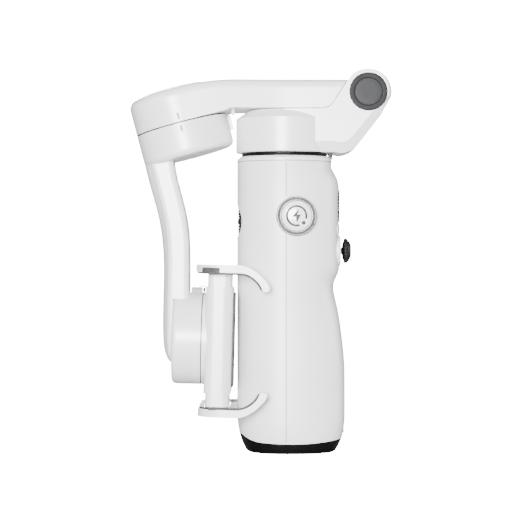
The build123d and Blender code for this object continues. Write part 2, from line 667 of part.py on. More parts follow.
# ---- phone clamp --------------------------------------------------------------------------------
def clamp_sleeve():
    low, high = roll_z - sleeve_half_z, roll_z + sleeve_half_z
    body = block(sleeve_back, sleeve_front, -sleeve_half_y, sleeve_half_y, low, high)
    body = fillet(body.edges().filter_by(Axis.Z), 4.5)
    plate = sleeve_on(roll_plane, roll_radius, 0, 0.2, 3.0)
    body += plate
    inset = sleeve_wall
    cavity = block(
        sleeve_back + inset, sleeve_front - inset,
        -sleeve_half_y + inset + 0.2, sleeve_half_y - inset - 0.2, low - 1, high + 1,
    )
    cavity = fillet(cavity.edges().filter_by(Axis.Z), 3.2)
    body -= cavity
    body += rod(1.5, (sleeve_back + 0.5, 0, roll_z), (sleeve_front - 0.5, 0, roll_z))
    body -= sleeve_on(roll_plane, shaft_radius, 0, -1, 0.9)
    return clamp_place * body


def clamp_pad():
    low, high = roll_z - sleeve_half_z + 2.6, roll_z + sleeve_half_z - 2.6
    pad = block(sleeve_front, sleeve_front + 0.9, -18.2, 18.2, low, high)
    pad = fillet(pad.edges().filter_by(Axis.X), 3.0)
    pad = chamfer(pad.faces().sort_by(Axis.X)[-1].edges(), 0.3)
    for index in range(-3, 4):
        height = roll_z + 5.6 * index
        groove = block(sleeve_front + 0.5, sleeve_front + 2, -14.5, 14.5, height - 0.4, height + 0.4)
        pad -= groove
    return clamp_place * pad


def rack_teeth(side):
    # one straight rack beside the pinion, its teeth pointing at the pinion axis
    pitch = pi * gear_module
    centre_y = gear_module * gear_teeth / 2
    back_y, root_y, tip_y = centre_y + 3.6, centre_y + 1.0, centre_y - 0.65
    slope = tan(radians(20))
    half_pitch_thickness = pitch / 4 - 0.09
    half_root = half_pitch_thickness + (root_y - centre_y) * slope
    half_tip = half_pitch_thickness - (centre_y - tip_y) * slope
    top = 28.5
    bar_corners = [(root_y, -rack_reach), (back_y, -rack_reach), (back_y, top), (root_y, top)]
    face = make_face(Polyline(*bar_corners, close=True))
    first = -int(rack_reach / pitch)
    for index in range(first, int(4.0 / pitch) + 2):
        height = (index + 0.5) * pitch
        face += make_face(Polyline(
            (root_y, height - half_root), (tip_y, height - half_tip),
            (tip_y, height + half_tip), (root_y, height + half_root), close=True,
        ))
    plane = Plane(origin=(-32.6, 0, roll_z), x_dir=(0, 1, 0), z_dir=(1, 0, 0))
    bar = extrude(plane * face, 4.4)
    return bar if side > 0 else bar.rotate(Axis((0, 0, roll_z), (1, 0, 0)), 180)


def upper_slider():
    gap, thick = slider_gap, slider_wall
    x0, x1 = sleeve_back + sleeve_wall + gap, sleeve_front - sleeve_wall - gap
    half_y = sleeve_half_y - sleeve_wall - 0.2 - gap
    low, high = roll_z + slider_inner_end, roll_z + jaw_low
    body = block(x0, x1, -half_y, half_y, low, high)
    body = fillet(body.edges().filter_by(Axis.Z), 3.1)
    body -= block(x0 + thick, x1 - thick, -half_y + 2.6, half_y - 2.6, low - 1, high - 3.0)
    return body + rack_teeth(1)


def jaw(back):
    # strip with a hooked tip
    top = roll_z + jaw_high
    place = [(x, top - drop) for x, drop in hook_outside]
    under = [(x, top - drop) for x, drop in hook_inside]
    edge = Line((back, top), place[0])
    edge += Spline(*place, tangents=((1, 0), (0.25, -1)))
    edge += ThreePointArc(place[-1], ((place[-1][0] + under[0][0]) / 2 + 0.1, top - 11.7), under[0])
    edge += Spline(*under, tangents=((-0.45, 1), (-1, 0)))
    edge += Polyline(under[-1], (back, under[-1][1]), (back, top))
    strip = side_profile(edge, jaw_half_y)
    return strip & jaw_plan(0, back)


def jaw_plan(inset, back):
    # seen from above: a plate that forks round the handle
    width, length = 2 * (jaw_half_y - inset), 60.0
    sheet = Pos(back + inset + length / 2, 0) * Rectangle(length, width)
    sheet = fillet(sheet.vertices().group_by(Axis.X)[0], 11.0)
    notch = Pos(notch_x - inset + length / 2, 0) * Rectangle(length, 2 * (prong_inner + inset))
    notch = fillet(notch.vertices().group_by(Axis.X)[0], 7.0)
    return extrude(Plane(origin=(0, 0, roll_z)) * (sheet - notch), 60)


def edge_tabs():
    rim = jaw_plan(0, upper_jaw_back) - jaw_plan(tab_depth, upper_jaw_back)
    top = roll_z + jaw_high
    thickness = jaw_high - jaw_low
    return rim & block(tab_back, tab_front, -40, 40, top - thickness - pad_thickness, top - tab_drop)


def jaw_pad(back):
    top = roll_z + jaw_high
    under = [(x, top - drop) for x, drop in hook_inside]
    low = [(x - 0.35, z - 0.75 * pad_thickness) for x, z in under[:-1]]
    low += [(hook_start, under[-1][1] - pad_thickness)]
    edge = Spline(*under, tangents=((-0.45, 1), (-1, 0)))
    edge += Polyline(under[-1], (back + tab_depth, under[-1][1]), (back + tab_depth, low[-1][1]), low[-1])
    edge += Spline(*reversed(low), tangents=((1, 0), (0.45, -1)))
    edge += Line(low[0], under[0])
    pad = side_profile(edge, jaw_half_y) & jaw_plan(tab_depth, back)
    half_y = sleeve_half_y - sleeve_wall
    return pad - block(sleeve_back, sleeve_front, -half_y, half_y, roll_z, roll_z + 60)


def mirrored(part):
    # the lower half of the clamp is the upper half turned over about the roll axis
    return part.rotate(Axis((0, 0, roll_z), (1, 0, 0)), 180)


def jaw_pinion():
    pitch_radius = gear_module * gear_teeth / 2
    base = pitch_radius * cos(radians(20))
    tip, root = pitch_radius + 0.75, pitch_radius - 0.9
    involute = tan(radians(20)) - radians(20)
    half_angle = (pi / 2 / gear_teeth) - 0.09 / pitch_radius + involute
    flank = []
    for step in range(6):
        radius = base + (tip - base) * step / 5
        pressure = sqrt(max(radius * radius / base / base - 1, 0))
        angle = half_angle - (pressure - atan2(pressure, 1))
        flank.append((radius, angle))
    right = [(root, half_angle)] + flank
    points = [(r * cos(a), -r * sin(a)) for r, a in right]
    points += [(r * cos(a), r * sin(a)) for r, a in reversed(right)]
    tooth = make_face(Polyline((0, 0), *points, close=True))
    face = Circle(root)
    for index in range(gear_teeth):
        face += Rot(0, 0, 360 / gear_teeth * index) * tooth
    plane = Plane(origin=(-32.4, 0, roll_z), x_dir=(0, 1, 0), z_dir=(1, 0, 0))
    gear = extrude(plane * face, 4.0)
    return gear - rod(1.5 + running_gap, (-40, 0, roll_z), (-20, 0, roll_z))


# ---- assembly -----------------------------------------------------------------------------------
def build_nodes():
    outer = handle_form(0)
    inner = handle_form(wall)
    rear_shell, front_shell = handle_shells(outer, inner)
    nodes = {
        "rear_shell": rear_shell,
        "front_shell": front_shell,
        "base_cap": base_cap(outer, inner),
        "base_screws": base_screws(),
        "tripod_insert": tripod_insert(),
        "battery_cell": battery_cell(),
        "battery_tray": battery_tray(),
        "main_board": main_board(),
        "usb_socket": usb_socket(),
        "wheel_seat": wheel_seat(),
        "focus_wheel": focus_wheel(),
        "wheel_button": wheel_button(),
        "trigger": trigger(),
        "joystick_bezel": joystick_bezel(),
        "joystick_ring": joystick_ring(),
        "joystick_cap": joystick_cap(),
        "mode_button": front_button(-1),
        "record_button": front_button(1),
        "display_window": display_window(),
        "top_collar": top_collar(),
        "pan_seal_ring": pan_seal_ring(),
        "pan_stop_block": pan_stop_block(),
        "pan_stator": stator(pan_plane, 0.4, 11.0, post_radius, stator_radius),
        "pan_bearing": bearing_pair(pan_plane, -6.4, 12.0),
        "pan_arm": pan_arm(),
        "pan_rotor": sleeve_on(pan_plane, magnet_seat, magnet_inner, 0.3, 13.0),
        "pan_shaft": sleeve_on(pan_plane, shaft_radius, 0, -6.4, 17.1),
        "hinge_pin": hinge_pin(),
        "hinge_cap": hinge_cap(-1),
        "hinge_insert": hinge_insert(),
        "hinge_rear_cap": hinge_cap(1),
        "upper_arm": upper_arm(),
        "hinge_bush": tube(5.0, 3.25, (hinge_x, -tongue_half, hinge_z), (hinge_x, tongue_half, hinge_z)),
        "tilt_cover": tilt_cover(),
        "tilt_stator": stator(tilt_plane, -10.0, 4.0, post_radius, stator_radius),
        "tilt_bearing": bearing_pair(tilt_plane, -7.5, 12.4),
        "tilt_stop_pin": tilt_stop_pin(),
        "swing_arm": swing_arm(),
        "tilt_rotor": sleeve_on(tilt_plane, magnet_seat, magnet_inner, -12.0, -1.0),
        "tilt_shaft": sleeve_on(tilt_plane, shaft_radius, 0, -13.4, 12.3),
        "roll_housing": roll_housing(),
        "roll_stop": roll_stop(),
        "roll_stator": clamp_place * stator(roll_plane, -11.4, -3.0, post_radius, stator_radius),
        "roll_bearing": clamp_place * bearing_pair(roll_plane, -11.4, -3.2, 2.5),
        "clamp_sleeve": clamp_sleeve(),
        "clamp_pad": clamp_pad(),
        "roll_rotor": roll_rotor(),
        "roll_shaft": roll_shaft(),
        "jaw_pinion": clamp_place * jaw_pinion(),
        "upper_slider": clamp_place * upper_slider(),
        "upper_jaw": clamp_place * (jaw(upper_jaw_back) - edge_tabs()),
        "upper_jaw_pad": clamp_place * (jaw_pad(upper_jaw_back) + edge_tabs()),
        "lower_slider": clamp_place * mirrored(upper_slider()),
        "lower_jaw": clamp_place * mirrored(jaw(lower_jaw_back)),
        "lower_jaw_pad": clamp_place * mirrored(jaw_pad(lower_jaw_back)),
    }
    return nodes


os.makedirs("parts", exist_ok=True)
for name, shape in build_nodes().items():
    shape.label = name
    export_step(shape, os.path.join("parts", name + ".step"))
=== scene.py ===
import json
import math

import bmesh
import bpy
from mathutils import Matrix, Vector
from mathutils.bvhtree import BVHTree


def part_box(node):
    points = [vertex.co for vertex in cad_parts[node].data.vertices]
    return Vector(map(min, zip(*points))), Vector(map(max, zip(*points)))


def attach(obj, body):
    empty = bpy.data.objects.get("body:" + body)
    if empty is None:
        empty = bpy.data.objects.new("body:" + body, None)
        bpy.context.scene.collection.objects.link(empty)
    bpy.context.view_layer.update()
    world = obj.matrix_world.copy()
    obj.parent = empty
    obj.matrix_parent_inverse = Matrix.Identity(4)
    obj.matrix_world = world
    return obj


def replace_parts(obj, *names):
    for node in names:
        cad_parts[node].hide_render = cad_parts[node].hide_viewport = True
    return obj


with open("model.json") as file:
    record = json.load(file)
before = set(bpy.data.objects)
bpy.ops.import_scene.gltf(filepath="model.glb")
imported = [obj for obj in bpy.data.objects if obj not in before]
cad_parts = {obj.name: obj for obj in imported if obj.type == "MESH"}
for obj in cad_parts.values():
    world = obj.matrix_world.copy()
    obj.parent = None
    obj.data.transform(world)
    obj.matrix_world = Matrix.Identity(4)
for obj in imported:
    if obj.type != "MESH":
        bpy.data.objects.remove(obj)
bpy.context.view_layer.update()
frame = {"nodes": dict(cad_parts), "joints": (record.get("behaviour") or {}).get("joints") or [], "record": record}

mm = 0.001
nodes = frame["nodes"]
joints = {joint["name"]: joint for joint in frame["joints"]}
bodies = frame["record"]["behaviour"]["bodies"]
nodeBody = {node: body for body, members in bodies.items() for node in members}
print("frame loaded:", len(nodes), "nodes")


# ---- small tools used everywhere below

def hexColour(code):
    # sRGB hex to the linear values that shaders want
    parts = [int(code[i:i + 2], 16) / 255 for i in (1, 3, 5)]
    linear = [c / 12.92 if c <= 0.04045 else ((c + 0.055) / 1.055) ** 2.4 for c in parts]
    return (*linear, 1.0)


def addNode(tree, kind, settings=None, values=None, links=None):
    node = tree.nodes.new(kind)
    for name, value in (settings or {}).items():
        setattr(node, name, value)
    for name, value in (values or {}).items():
        node.inputs[name].default_value = value
    for name, source in (links or {}).items():
        tree.links.new(source, node.inputs[name])
    return node


def startMaterial(name, values):
    material = bpy.data.materials.new(name)
    material.use_nodes = True
    tree = material.node_tree
    shader = tree.nodes["Principled BSDF"]
    for key, value in values.items():
        shader.inputs[key].default_value = value
    return material, tree, shader


def objectCoords(tree):
    return addNode(tree, "ShaderNodeTexCoord").outputs["Object"]


def noiseAt(tree, coords, size, detail=3.0, rough=0.55):
    # size is the width of one blotch in metres
    noise = addNode(tree, "ShaderNodeTexNoise", {"noise_dimensions": "3D"},
                    {"Scale": 1 / size, "Detail": detail, "Roughness": rough}, {"Vector": coords})
    return noise.outputs["Fac"]


def spread(tree, source, low=0.0, high=1.0):
    # maps the usual spread of a noise (0.3 to 0.7) to low..high
    limits = {"From Min": 0.3, "From Max": 0.7, "To Min": low, "To Max": high}
    return addNode(tree, "ShaderNodeMapRange", {}, limits, {"Value": source}).outputs["Result"]


def tint(tree, factor, dark, light):
    # the sockets of a colour mix: 0 is the factor, 6 and 7 the two colours, and output 2 the result
    mix = addNode(tree, "ShaderNodeMix", {"data_type": "RGBA"},
                  {0: 0.5, 6: hexColour(dark), 7: hexColour(light)}, {0: factor})
    return mix.outputs[2]


def bumpFrom(tree, height, depth):
    # depth in metres
    bump = addNode(tree, "ShaderNodeBump", {}, {"Strength": 1.0, "Distance": depth}, {"Height": height})
    return bump.outputs["Normal"]


def maths(tree, operation, first, second=0.0):
    node = addNode(tree, "ShaderNodeMath", {"operation": operation})
    for index, source in enumerate((first, second)):
        if isinstance(source, (int, float)):
            node.inputs[index].default_value = source
        else:
            tree.links.new(source, node.inputs[index])
    return node.outputs[0]


def vectorMaths(tree, operation, source, fixed=(0, 0, 0)):
    # a linked vector and a fixed one
    return addNode(tree, "ShaderNodeVectorMath", {"operation": operation}, {1: fixed}, {0: source})


def fromAxis(tree, coords, centre, axis):
    # distance from a fixed axis: for marks that a lathe leaves
    moved = vectorMaths(tree, "SUBTRACT", coords, centre)
    cross = vectorMaths(tree, "CROSS_PRODUCT", moved.outputs[0], axis)
    return vectorMaths(tree, "LENGTH", cross.outputs[0]).outputs["Value"]


def axisPlace(point, axis, across=(0, 1, 0)):
    # a matrix whose Z is the axis and whose X is near the wanted cross direction
    up = Vector(axis).normalized()
    side = Vector(across) - up * up.dot(Vector(across))
    side.normalize()
    turn = Matrix((side, up.cross(side), up)).transposed().to_4x4()
    return Matrix.Translation(Vector(point)) @ turn


def roundCorners(points, radius, steps=4, closed=False):
    # rounds each corner of an (r, z) outline with a small arc; sizes in mm
    rounded = []
    count = len(points)
    for index, point in enumerate(points):
        if not closed and index in (0, count - 1):
            rounded.append(point)
            continue
        corner = Vector(point)
        before = Vector(points[index - 1]) - corner
        after = Vector(points[(index + 1) % count]) - corner
        cut = min(radius, before.length * 0.45, after.length * 0.45)
        start, end = corner + before.normalized() * cut, corner + after.normalized() * cut
        for step in range(steps + 1):
            t = step / steps
            blend = start * (1 - t) ** 2 + corner * 2 * t * (1 - t) + end * t ** 2
            rounded.append((blend.x, blend.y))
    return rounded


def turned(shape, outline, place, steps=96, closed=False):
    # spins an (r, z) outline in mm about the Z of place; a point with r = 0 becomes a single pole
    angles = [2 * math.pi * k / steps for k in range(steps)]
    rings = []
    for radius, height in outline:
        if radius < 1e-6:
            rings.append([shape.verts.new(place @ Vector((0, 0, height * mm)))])
            continue
        spots = [Vector((radius * mm * math.cos(a), radius * mm * math.sin(a), height * mm)) for a in angles]
        rings.append([shape.verts.new(place @ spot) for spot in spots])
    pairs = list(zip(rings, rings[1:]))
    if closed:
        pairs.append((rings[-1], rings[0]))
    for low, high in pairs:
        for k in range(steps):
            n = (k + 1) % steps
            corners = [low[k % len(low)], low[n % len(low)], high[n % len(high)], high[k % len(high)]]
            unique = list(dict.fromkeys(corners))
            if len(unique) > 2:
                shape.faces.new(unique)


def meshPiece(name, build, material, body, smoothAngle=35):
    # build fills a bmesh in metres, in the frame's own axes
    mesh = bpy.data.meshes.new(name)
    shape = bmesh.new()
    build(shape)
    bmesh.ops.remove_doubles(shape, verts=shape.verts, dist=1e-7)
    bmesh.ops.recalc_face_normals(shape, faces=shape.faces)
    shape.to_mesh(mesh)
    shape.free()
    piece = bpy.data.objects.new(name, mesh)
    bpy.context.scene.collection.objects.link(piece)
    mesh.materials.append(material)
    finishMesh(piece, smoothAngle)
    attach(piece, body)
    return piece


def finishMesh(piece, smoothAngle):
    for face in piece.data.polygons:
        face.use_smooth = True
    piece.data.set_sharp_from_angle(angle=math.radians(smoothAngle))


def startTree(name, inputs):
    tree = bpy.data.node_groups.new(name, "GeometryNodeTree")
    tree.interface.new_socket("Geometry", in_out="INPUT", socket_type="NodeSocketGeometry")
    for label, kind in inputs.items():
        tree.interface.new_socket(label, in_out="INPUT", socket_type="NodeSocket" + kind)
    tree.interface.new_socket("Geometry", in_out="OUTPUT", socket_type="NodeSocketGeometry")
    return tree, addNode(tree, "NodeGroupInput").outputs


def endTree(tree, made, given):
    # instances made real, their finish set, and joined to what was there
    real = addNode(tree, "GeometryNodeRealizeInstances", {}, {}, {"Geometry": made})
    finished = addNode(tree, "GeometryNodeSetMaterial", {}, {}, {
        "Geometry": real.outputs[0], "Material": given["Finish"]})
    joined = addNode(tree, "GeometryNodeJoinGeometry", {}, {}, {"Geometry": given["Geometry"]})
    tree.links.new(finished.outputs[0], joined.inputs["Geometry"])
    out = addNode(tree, "NodeGroupOutput")
    tree.links.new(joined.outputs[0], out.inputs["Geometry"])


def bakeTree(piece, tree, values, smoothAngle=35):
    modifier = piece.modifiers.new(tree.name, "NODES")
    modifier.node_group = tree
    for item in tree.interface.items_tree:
        if item.in_out == "INPUT" and item.name in values:
            modifier[item.identifier] = values[item.name]
    bpy.context.view_layer.update()
    evaluated = piece.evaluated_get(bpy.context.evaluated_depsgraph_get())
    mesh = bpy.data.meshes.new_from_object(evaluated)
    piece.modifiers.remove(modifier)
    plain = piece.data
    piece.data = mesh
    bpy.data.meshes.remove(plain)
    mesh.name = piece.name
    finishMesh(piece, smoothAngle)


def useOn(material, *names):
    for name in names:
        mesh = nodes[name].data
        mesh.materials.clear()
        mesh.materials.append(material)


# ---- finishes

def mouldedPlastic(name, dark, light, rough, grain, depth, specular=0.5, coat=0.0, coatRough=0.35):
    # slow tone drift of a large moulding under the fine grain that its steel tool was given
    cloud = 24 * mm
    material, tree, shader = startMaterial(name, {
        "IOR": 1.5, "Specular IOR Level": specular,
        "Coat Weight": coat, "Coat Roughness": coatRough, "Coat IOR": 1.6})
    coords = objectCoords(tree)
    drift = spread(tree, noiseAt(tree, coords, cloud))
    fine = noiseAt(tree, coords, grain, 4.0, 0.6)
    tree.links.new(tint(tree, drift, dark, light), shader.inputs["Base Color"])
    tree.links.new(spread(tree, fine, rough - 0.05, rough + 0.06), shader.inputs["Roughness"])
    tree.links.new(bumpFrom(tree, fine, depth), shader.inputs["Normal"])
    return material


def mouldedRubber(name, dark, light, rough, grain, depth, ribAxis=None, ribPitch=1.2 * mm, ribDepth=0.0):
    # a dull skin with a trace of dust in its pores, and ribs where ribAxis gives a direction
    patch = 7 * mm
    material, tree, shader = startMaterial(name, {"IOR": 1.48, "Specular IOR Level": 0.3})
    coords = objectCoords(tree)
    fine = noiseAt(tree, coords, grain, 5.0, 0.65)
    dust = noiseAt(tree, coords, patch, 4.0)
    tree.links.new(tint(tree, spread(tree, dust), dark, light), shader.inputs["Base Color"])
    tree.links.new(spread(tree, fine, rough - 0.06, rough + 0.08), shader.inputs["Roughness"])
    height = maths(tree, "MULTIPLY", fine, depth)
    if ribAxis:
        along = vectorMaths(tree, "DOT_PRODUCT", coords, ribAxis)
        wave = maths(tree, "SINE", maths(tree, "MULTIPLY", along.outputs["Value"], 2 * math.pi / ribPitch))
        height = maths(tree, "ADD", height, maths(tree, "MULTIPLY", wave, ribDepth))
    tree.links.new(bumpFrom(tree, height, 1.0), shader.inputs["Normal"])
    return material


def turnedMetal(name, dark, light, rough, centre, axis, pitch=0.16 * mm, depth=0.0015 * mm, metallic=1.0,
                specular=0.5):
    # fine rings from the lathe tool, a little unevenly spaced, which stretch the highlights into arcs
    uneven, drift = 0.35 * mm, 2 * mm
    material, tree, shader = startMaterial(name, {"Metallic": metallic, "Specular IOR Level": specular})
    coords = objectCoords(tree)
    reach = fromAxis(tree, coords, centre, axis)
    wander = maths(tree, "MULTIPLY", noiseAt(tree, coords, drift), uneven)
    phase = maths(tree, "MULTIPLY", maths(tree, "ADD", reach, wander), 2 * math.pi / pitch)
    rings = maths(tree, "SINE", phase)
    smear = noiseAt(tree, coords, 3 * mm, 3.0)
    tree.links.new(tint(tree, spread(tree, smear), dark, light), shader.inputs["Base Color"])
    tree.links.new(spread(tree, smear, rough - 0.05, rough + 0.07), shader.inputs["Roughness"])
    tree.links.new(bumpFrom(tree, rings, depth), shader.inputs["Normal"])
    return material


def platedMetal(name, dark, light, rough, speck=1.2 * mm, depth=0.0006 * mm, metallic=1.0):
    # satin plating: soft reflections, with a faint waviness that keeps them from looking ruled
    material, tree, shader = startMaterial(name, {"Metallic": metallic})
    coords = objectCoords(tree)
    haze = noiseAt(tree, coords, speck, 3.0)
    tree.links.new(tint(tree, spread(tree, haze), dark, light), shader.inputs["Base Color"])
    tree.links.new(spread(tree, haze, max(rough - 0.04, 0.02), rough + 0.05), shader.inputs["Roughness"])
    tree.links.new(bumpFrom(tree, haze, depth), shader.inputs["Normal"])
    return material


def stackedSteel(name, dark, light, axis, pitch):
    # thin sheets pressed in a pile: dark lines between the cut edges of each sheet
    material, tree, shader = startMaterial(name, {"Metallic": 0.9})
    coords = objectCoords(tree)
    along = vectorMaths(tree, "DOT_PRODUCT", coords, axis).outputs["Value"]
    wave = maths(tree, "SINE", maths(tree, "MULTIPLY", along, 2 * math.pi / pitch))
    stain = noiseAt(tree, coords, 1.5 * mm, 4.0)
    shade = maths(tree, "MULTIPLY", spread(tree, stain, 0.4, 1.0), maths(tree, "ABSOLUTE", wave))
    tree.links.new(tint(tree, shade, dark, light), shader.inputs["Base Color"])
    tree.links.new(spread(tree, stain, 0.35, 0.6), shader.inputs["Roughness"])
    tree.links.new(bumpFrom(tree, wave, 0.02 * mm), shader.inputs["Normal"])
    return material


def solderMask(name):
    # green lacquer over etched tracks: the copper shows as lighter veins in the colour and the relief
    material, tree, shader = startMaterial(name, {"IOR": 1.5, "Coat Weight": 0.4, "Coat Roughness": 0.1})
    coords = objectCoords(tree)
    cell = 2.4 * mm
    tracks = addNode(tree, "ShaderNodeTexVoronoi", {"feature": "DISTANCE_TO_EDGE"}, {"Scale": 1 / cell},
                     {"Vector": coords}).outputs["Distance"]
    limits = {"From Min": 0.04, "From Max": 0.09, "To Min": 1.0, "To Max": 0.0}
    veins = addNode(tree, "ShaderNodeMapRange", {}, limits, {"Value": tracks}).outputs["Result"]
    tree.links.new(tint(tree, veins, "#0E3A22", "#2F6B42"), shader.inputs["Base Color"])
    tree.links.new(spread(tree, noiseAt(tree, coords, 1 * mm), 0.3, 0.45), shader.inputs["Roughness"])
    tree.links.new(bumpFrom(tree, veins, 0.02 * mm), shader.inputs["Normal"])
    return material


def clearWindow(name, dark, light):
    # smoked acrylic: deep and glossy, with a faint hard-coat ripple
    material, tree, shader = startMaterial(name, {"IOR": 1.49, "Coat Weight": 0.6, "Coat Roughness": 0.04})
    coords = objectCoords(tree)
    ripple = noiseAt(tree, coords, 6 * mm, 2.0)
    tree.links.new(tint(tree, spread(tree, ripple), dark, light), shader.inputs["Base Color"])
    tree.links.new(spread(tree, ripple, 0.06, 0.12), shader.inputs["Roughness"])
    tree.links.new(bumpFrom(tree, ripple, 0.004 * mm), shader.inputs["Normal"])
    return material


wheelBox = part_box("focus_wheel")
wheelCentre = (wheelBox[0] + wheelBox[1]) / 2
hingeCentre = Vector(joints["fold"]["pos_m"])
tiltCentre, tiltAxis = Vector(joints["tilt"]["pos_m"]), Vector(joints["tilt"]["axis"]).normalized()
rollCentre, rollAxis = Vector(joints["roll"]["pos_m"]), Vector(joints["roll"]["axis"]).normalized()
if tiltAxis.z < 0:
    tiltAxis = -tiltAxis

# soft highlights from the tool's spark-eroded grain, and a satin coat that darkens the edges a little
shellPlastic = mouldedPlastic("spark-eroded white polycarbonate", "#E9E9EA", "#EFEFEF", 0.44,
                              0.30 * mm, 0.0035 * mm, coat=0.6)
# smoother than the grip, with a longer sheen along the arms: sprayed satin paint with a little orange peel
armPaint = mouldedPlastic("satin white paint on glass-filled nylon", "#ECECED", "#F2F2F2", 0.36,
                          0.9 * mm, 0.0030 * mm, coat=0.6, coatRough=0.3)
# small glossy parts throw a clear highlight: injection-moulded acrylic polished in the tool
capGloss = mouldedPlastic("tool-polished white acrylic", "#F0F0F1", "#F6F6F6", 0.20,
                          1.6 * mm, 0.0008 * mm, coat=0.5, coatRough=0.12)
# deep black with a soft bloom: a textured moulding
baseBlack = mouldedPlastic("textured black acrylonitrile plastic", "#060607", "#0A0A0B", 0.42,
                           0.35 * mm, 0.010 * mm, specular=0.1)
# painted shade of a parting line: a dark strip on the surface that stands for the gap's bottom, out of which
# hardly any light gets
seamShade = mouldedPlastic("shaded parting line of white polycarbonate", "#6E6E6F", "#777778", 0.7,
                           0.4 * mm, 0.002 * mm, specular=0.1)
# greyer than the arms and dull: a polyurethane stop that takes the knocks; its mid grey is partly painted shade,
# for the band between the swing arm and the sleeve that sits in shadow
stopGreyAndShade = mouldedPlastic("cast grey polyurethane with painted shade", "#8A8B8C", "#949596", 0.5,
                          0.5 * mm, 0.004 * mm, specular=0.3)
# bare black nylon parts: a bit shinier where they slide
slideBlack = mouldedPlastic("self-coloured black nylon", "#060607", "#090909", 0.34,
                            0.6 * mm, 0.004 * mm, specular=0.2)
# dull and soft: silicone drinks the light
sealRubber = mouldedRubber("moulded black silicone", "#080808", "#0E0E0F", 0.5, 0.25 * mm, 0.010 * mm)
# mid grey, dull: cast rubber pads; the ribs catch the light in fine lines
padRubber = mouldedRubber("cast grey rubber", "#3D3D3E", "#474748", 0.62, 0.3 * mm, 0.012 * mm,
                          (0, 1, 0), 1.5 * mm, 0.05 * mm)
# the same rubber without ribs, for edges and small pieces
edgeRubber = mouldedRubber("cast grey rubber, plain", "#3A3A3B", "#444445", 0.6, 0.3 * mm, 0.010 * mm)
# two even, dull greys with faint rings from the lathe: dyed anodised aluminium, which hardly mirrors
discOuter = turnedMetal("turned grey anodised aluminium", "#212123", "#252527", 0.46, hingeCentre, (0, 1, 0),
                        metallic=0.0, specular=0.08)
discInner = turnedMetal("turned light anodised aluminium", "#2E2E30", "#333335", 0.44, hingeCentre, (0, 1, 0),
                        pitch=0.30 * mm, depth=0.0022 * mm, metallic=0.0, specular=0.08)
# a bright rim with soft, spread reflections: satin plating
chrome = platedMetal("satin chromed brass", "#8A8C8E", "#989A9C", 0.3, metallic=0.75)
knurlMetal = platedMetal("satin nickel on knurled brass", "#8C8D8F", "#9C9D9F", 0.32,
                         0.5 * mm, 0.002 * mm, metallic=0.7)
windowDark = clearWindow("smoked acrylic", "#0A0B0D", "#101114")
# bright shafts and screws: the lathe's rings draw the highlight out along them
steel = turnedMetal("turned stainless steel", "#8E8F91", "#A3A4A6", 0.28, (0, 0, 0), (0, 0, 1))
brass = turnedMetal("machined brass", "#8A6A33", "#A07C3E", 0.28, (0, 0, 0), (0, 0, 1))
magnetNickel = platedMetal("nickel-plated magnet ring", "#8D8C88", "#9F9E9A", 0.22)
coreSteel = stackedSteel("stacked core laminations", "#2C2C2D", "#6B6A68", (0.12, 0, 0.99), 0.5 * mm)
batteryWrap = mouldedPlastic("shrink-wrapped vinyl sleeve", "#123A63", "#184778", 0.25,
                             1.8 * mm, 0.012 * mm, coat=0.3)
boardMask = solderMask("solder-masked glass epoxy")
nylon = mouldedPlastic("natural nylon", "#A9A498", "#B6B1A5", 0.38, 0.8 * mm, 0.006 * mm)
# a thin grey print, flat and matt
keyInk = mouldedPlastic("pad-printed grey ink", "#3A3B3C", "#424344", 0.55,
                        0.4 * mm, 0.002 * mm, specular=0.2)
markGrey = mouldedPlastic("light grey filled mark", "#8B8B8C", "#949495", 0.5, 0.4 * mm, 0.002 * mm)
redLacquer = mouldedPlastic("red lacquer fill", "#8E1414", "#A31A1A", 0.3, 0.8 * mm, 0.002 * mm, coat=0.4)
iconFilm = mouldedPlastic("translucent icon film", "#7E8488", "#8E9498", 0.4, 0.6 * mm, 0.001 * mm)

useOn(shellPlastic, "rear_shell", "front_shell", "top_collar", "joystick_bezel")
useOn(stopGreyAndShade, "roll_stop")
useOn(armPaint, "pan_arm", "upper_arm", "swing_arm", "roll_housing", "tilt_stop_pin", "clamp_sleeve",
      "upper_slider", "lower_slider", "upper_jaw", "lower_jaw", "mode_button", "record_button")
useOn(baseBlack, "base_cap", "wheel_seat")
useOn(slideBlack, "joystick_ring", "pan_stop_block")
useOn(sealRubber, "trigger", "pan_seal_ring", "joystick_cap")
useOn(padRubber, "clamp_pad")
useOn(edgeRubber, "upper_jaw_pad", "lower_jaw_pad")
useOn(windowDark, "display_window")
useOn(steel, "base_screws", "hinge_pin", "pan_shaft", "tilt_shaft", "roll_shaft",
      "pan_bearing", "tilt_bearing", "roll_bearing", "usb_socket")
useOn(brass, "tripod_insert")
useOn(magnetNickel, "pan_rotor", "tilt_rotor", "roll_rotor")
useOn(coreSteel, "pan_stator", "tilt_stator", "roll_stator")
useOn(batteryWrap, "battery_cell")
useOn(boardMask, "main_board")
useOn(nylon, "battery_tray", "hinge_bush", "jaw_pinion")
useOn(discOuter, "hinge_cap", "hinge_rear_cap")
useOn(discInner, "hinge_insert")
useOn(chrome, "focus_wheel")
useOn(capGloss, "wheel_button", "tilt_cover")
print("finishes made and laid on the frame")


# ---- rings of ridges, rows of ribs and screw threads

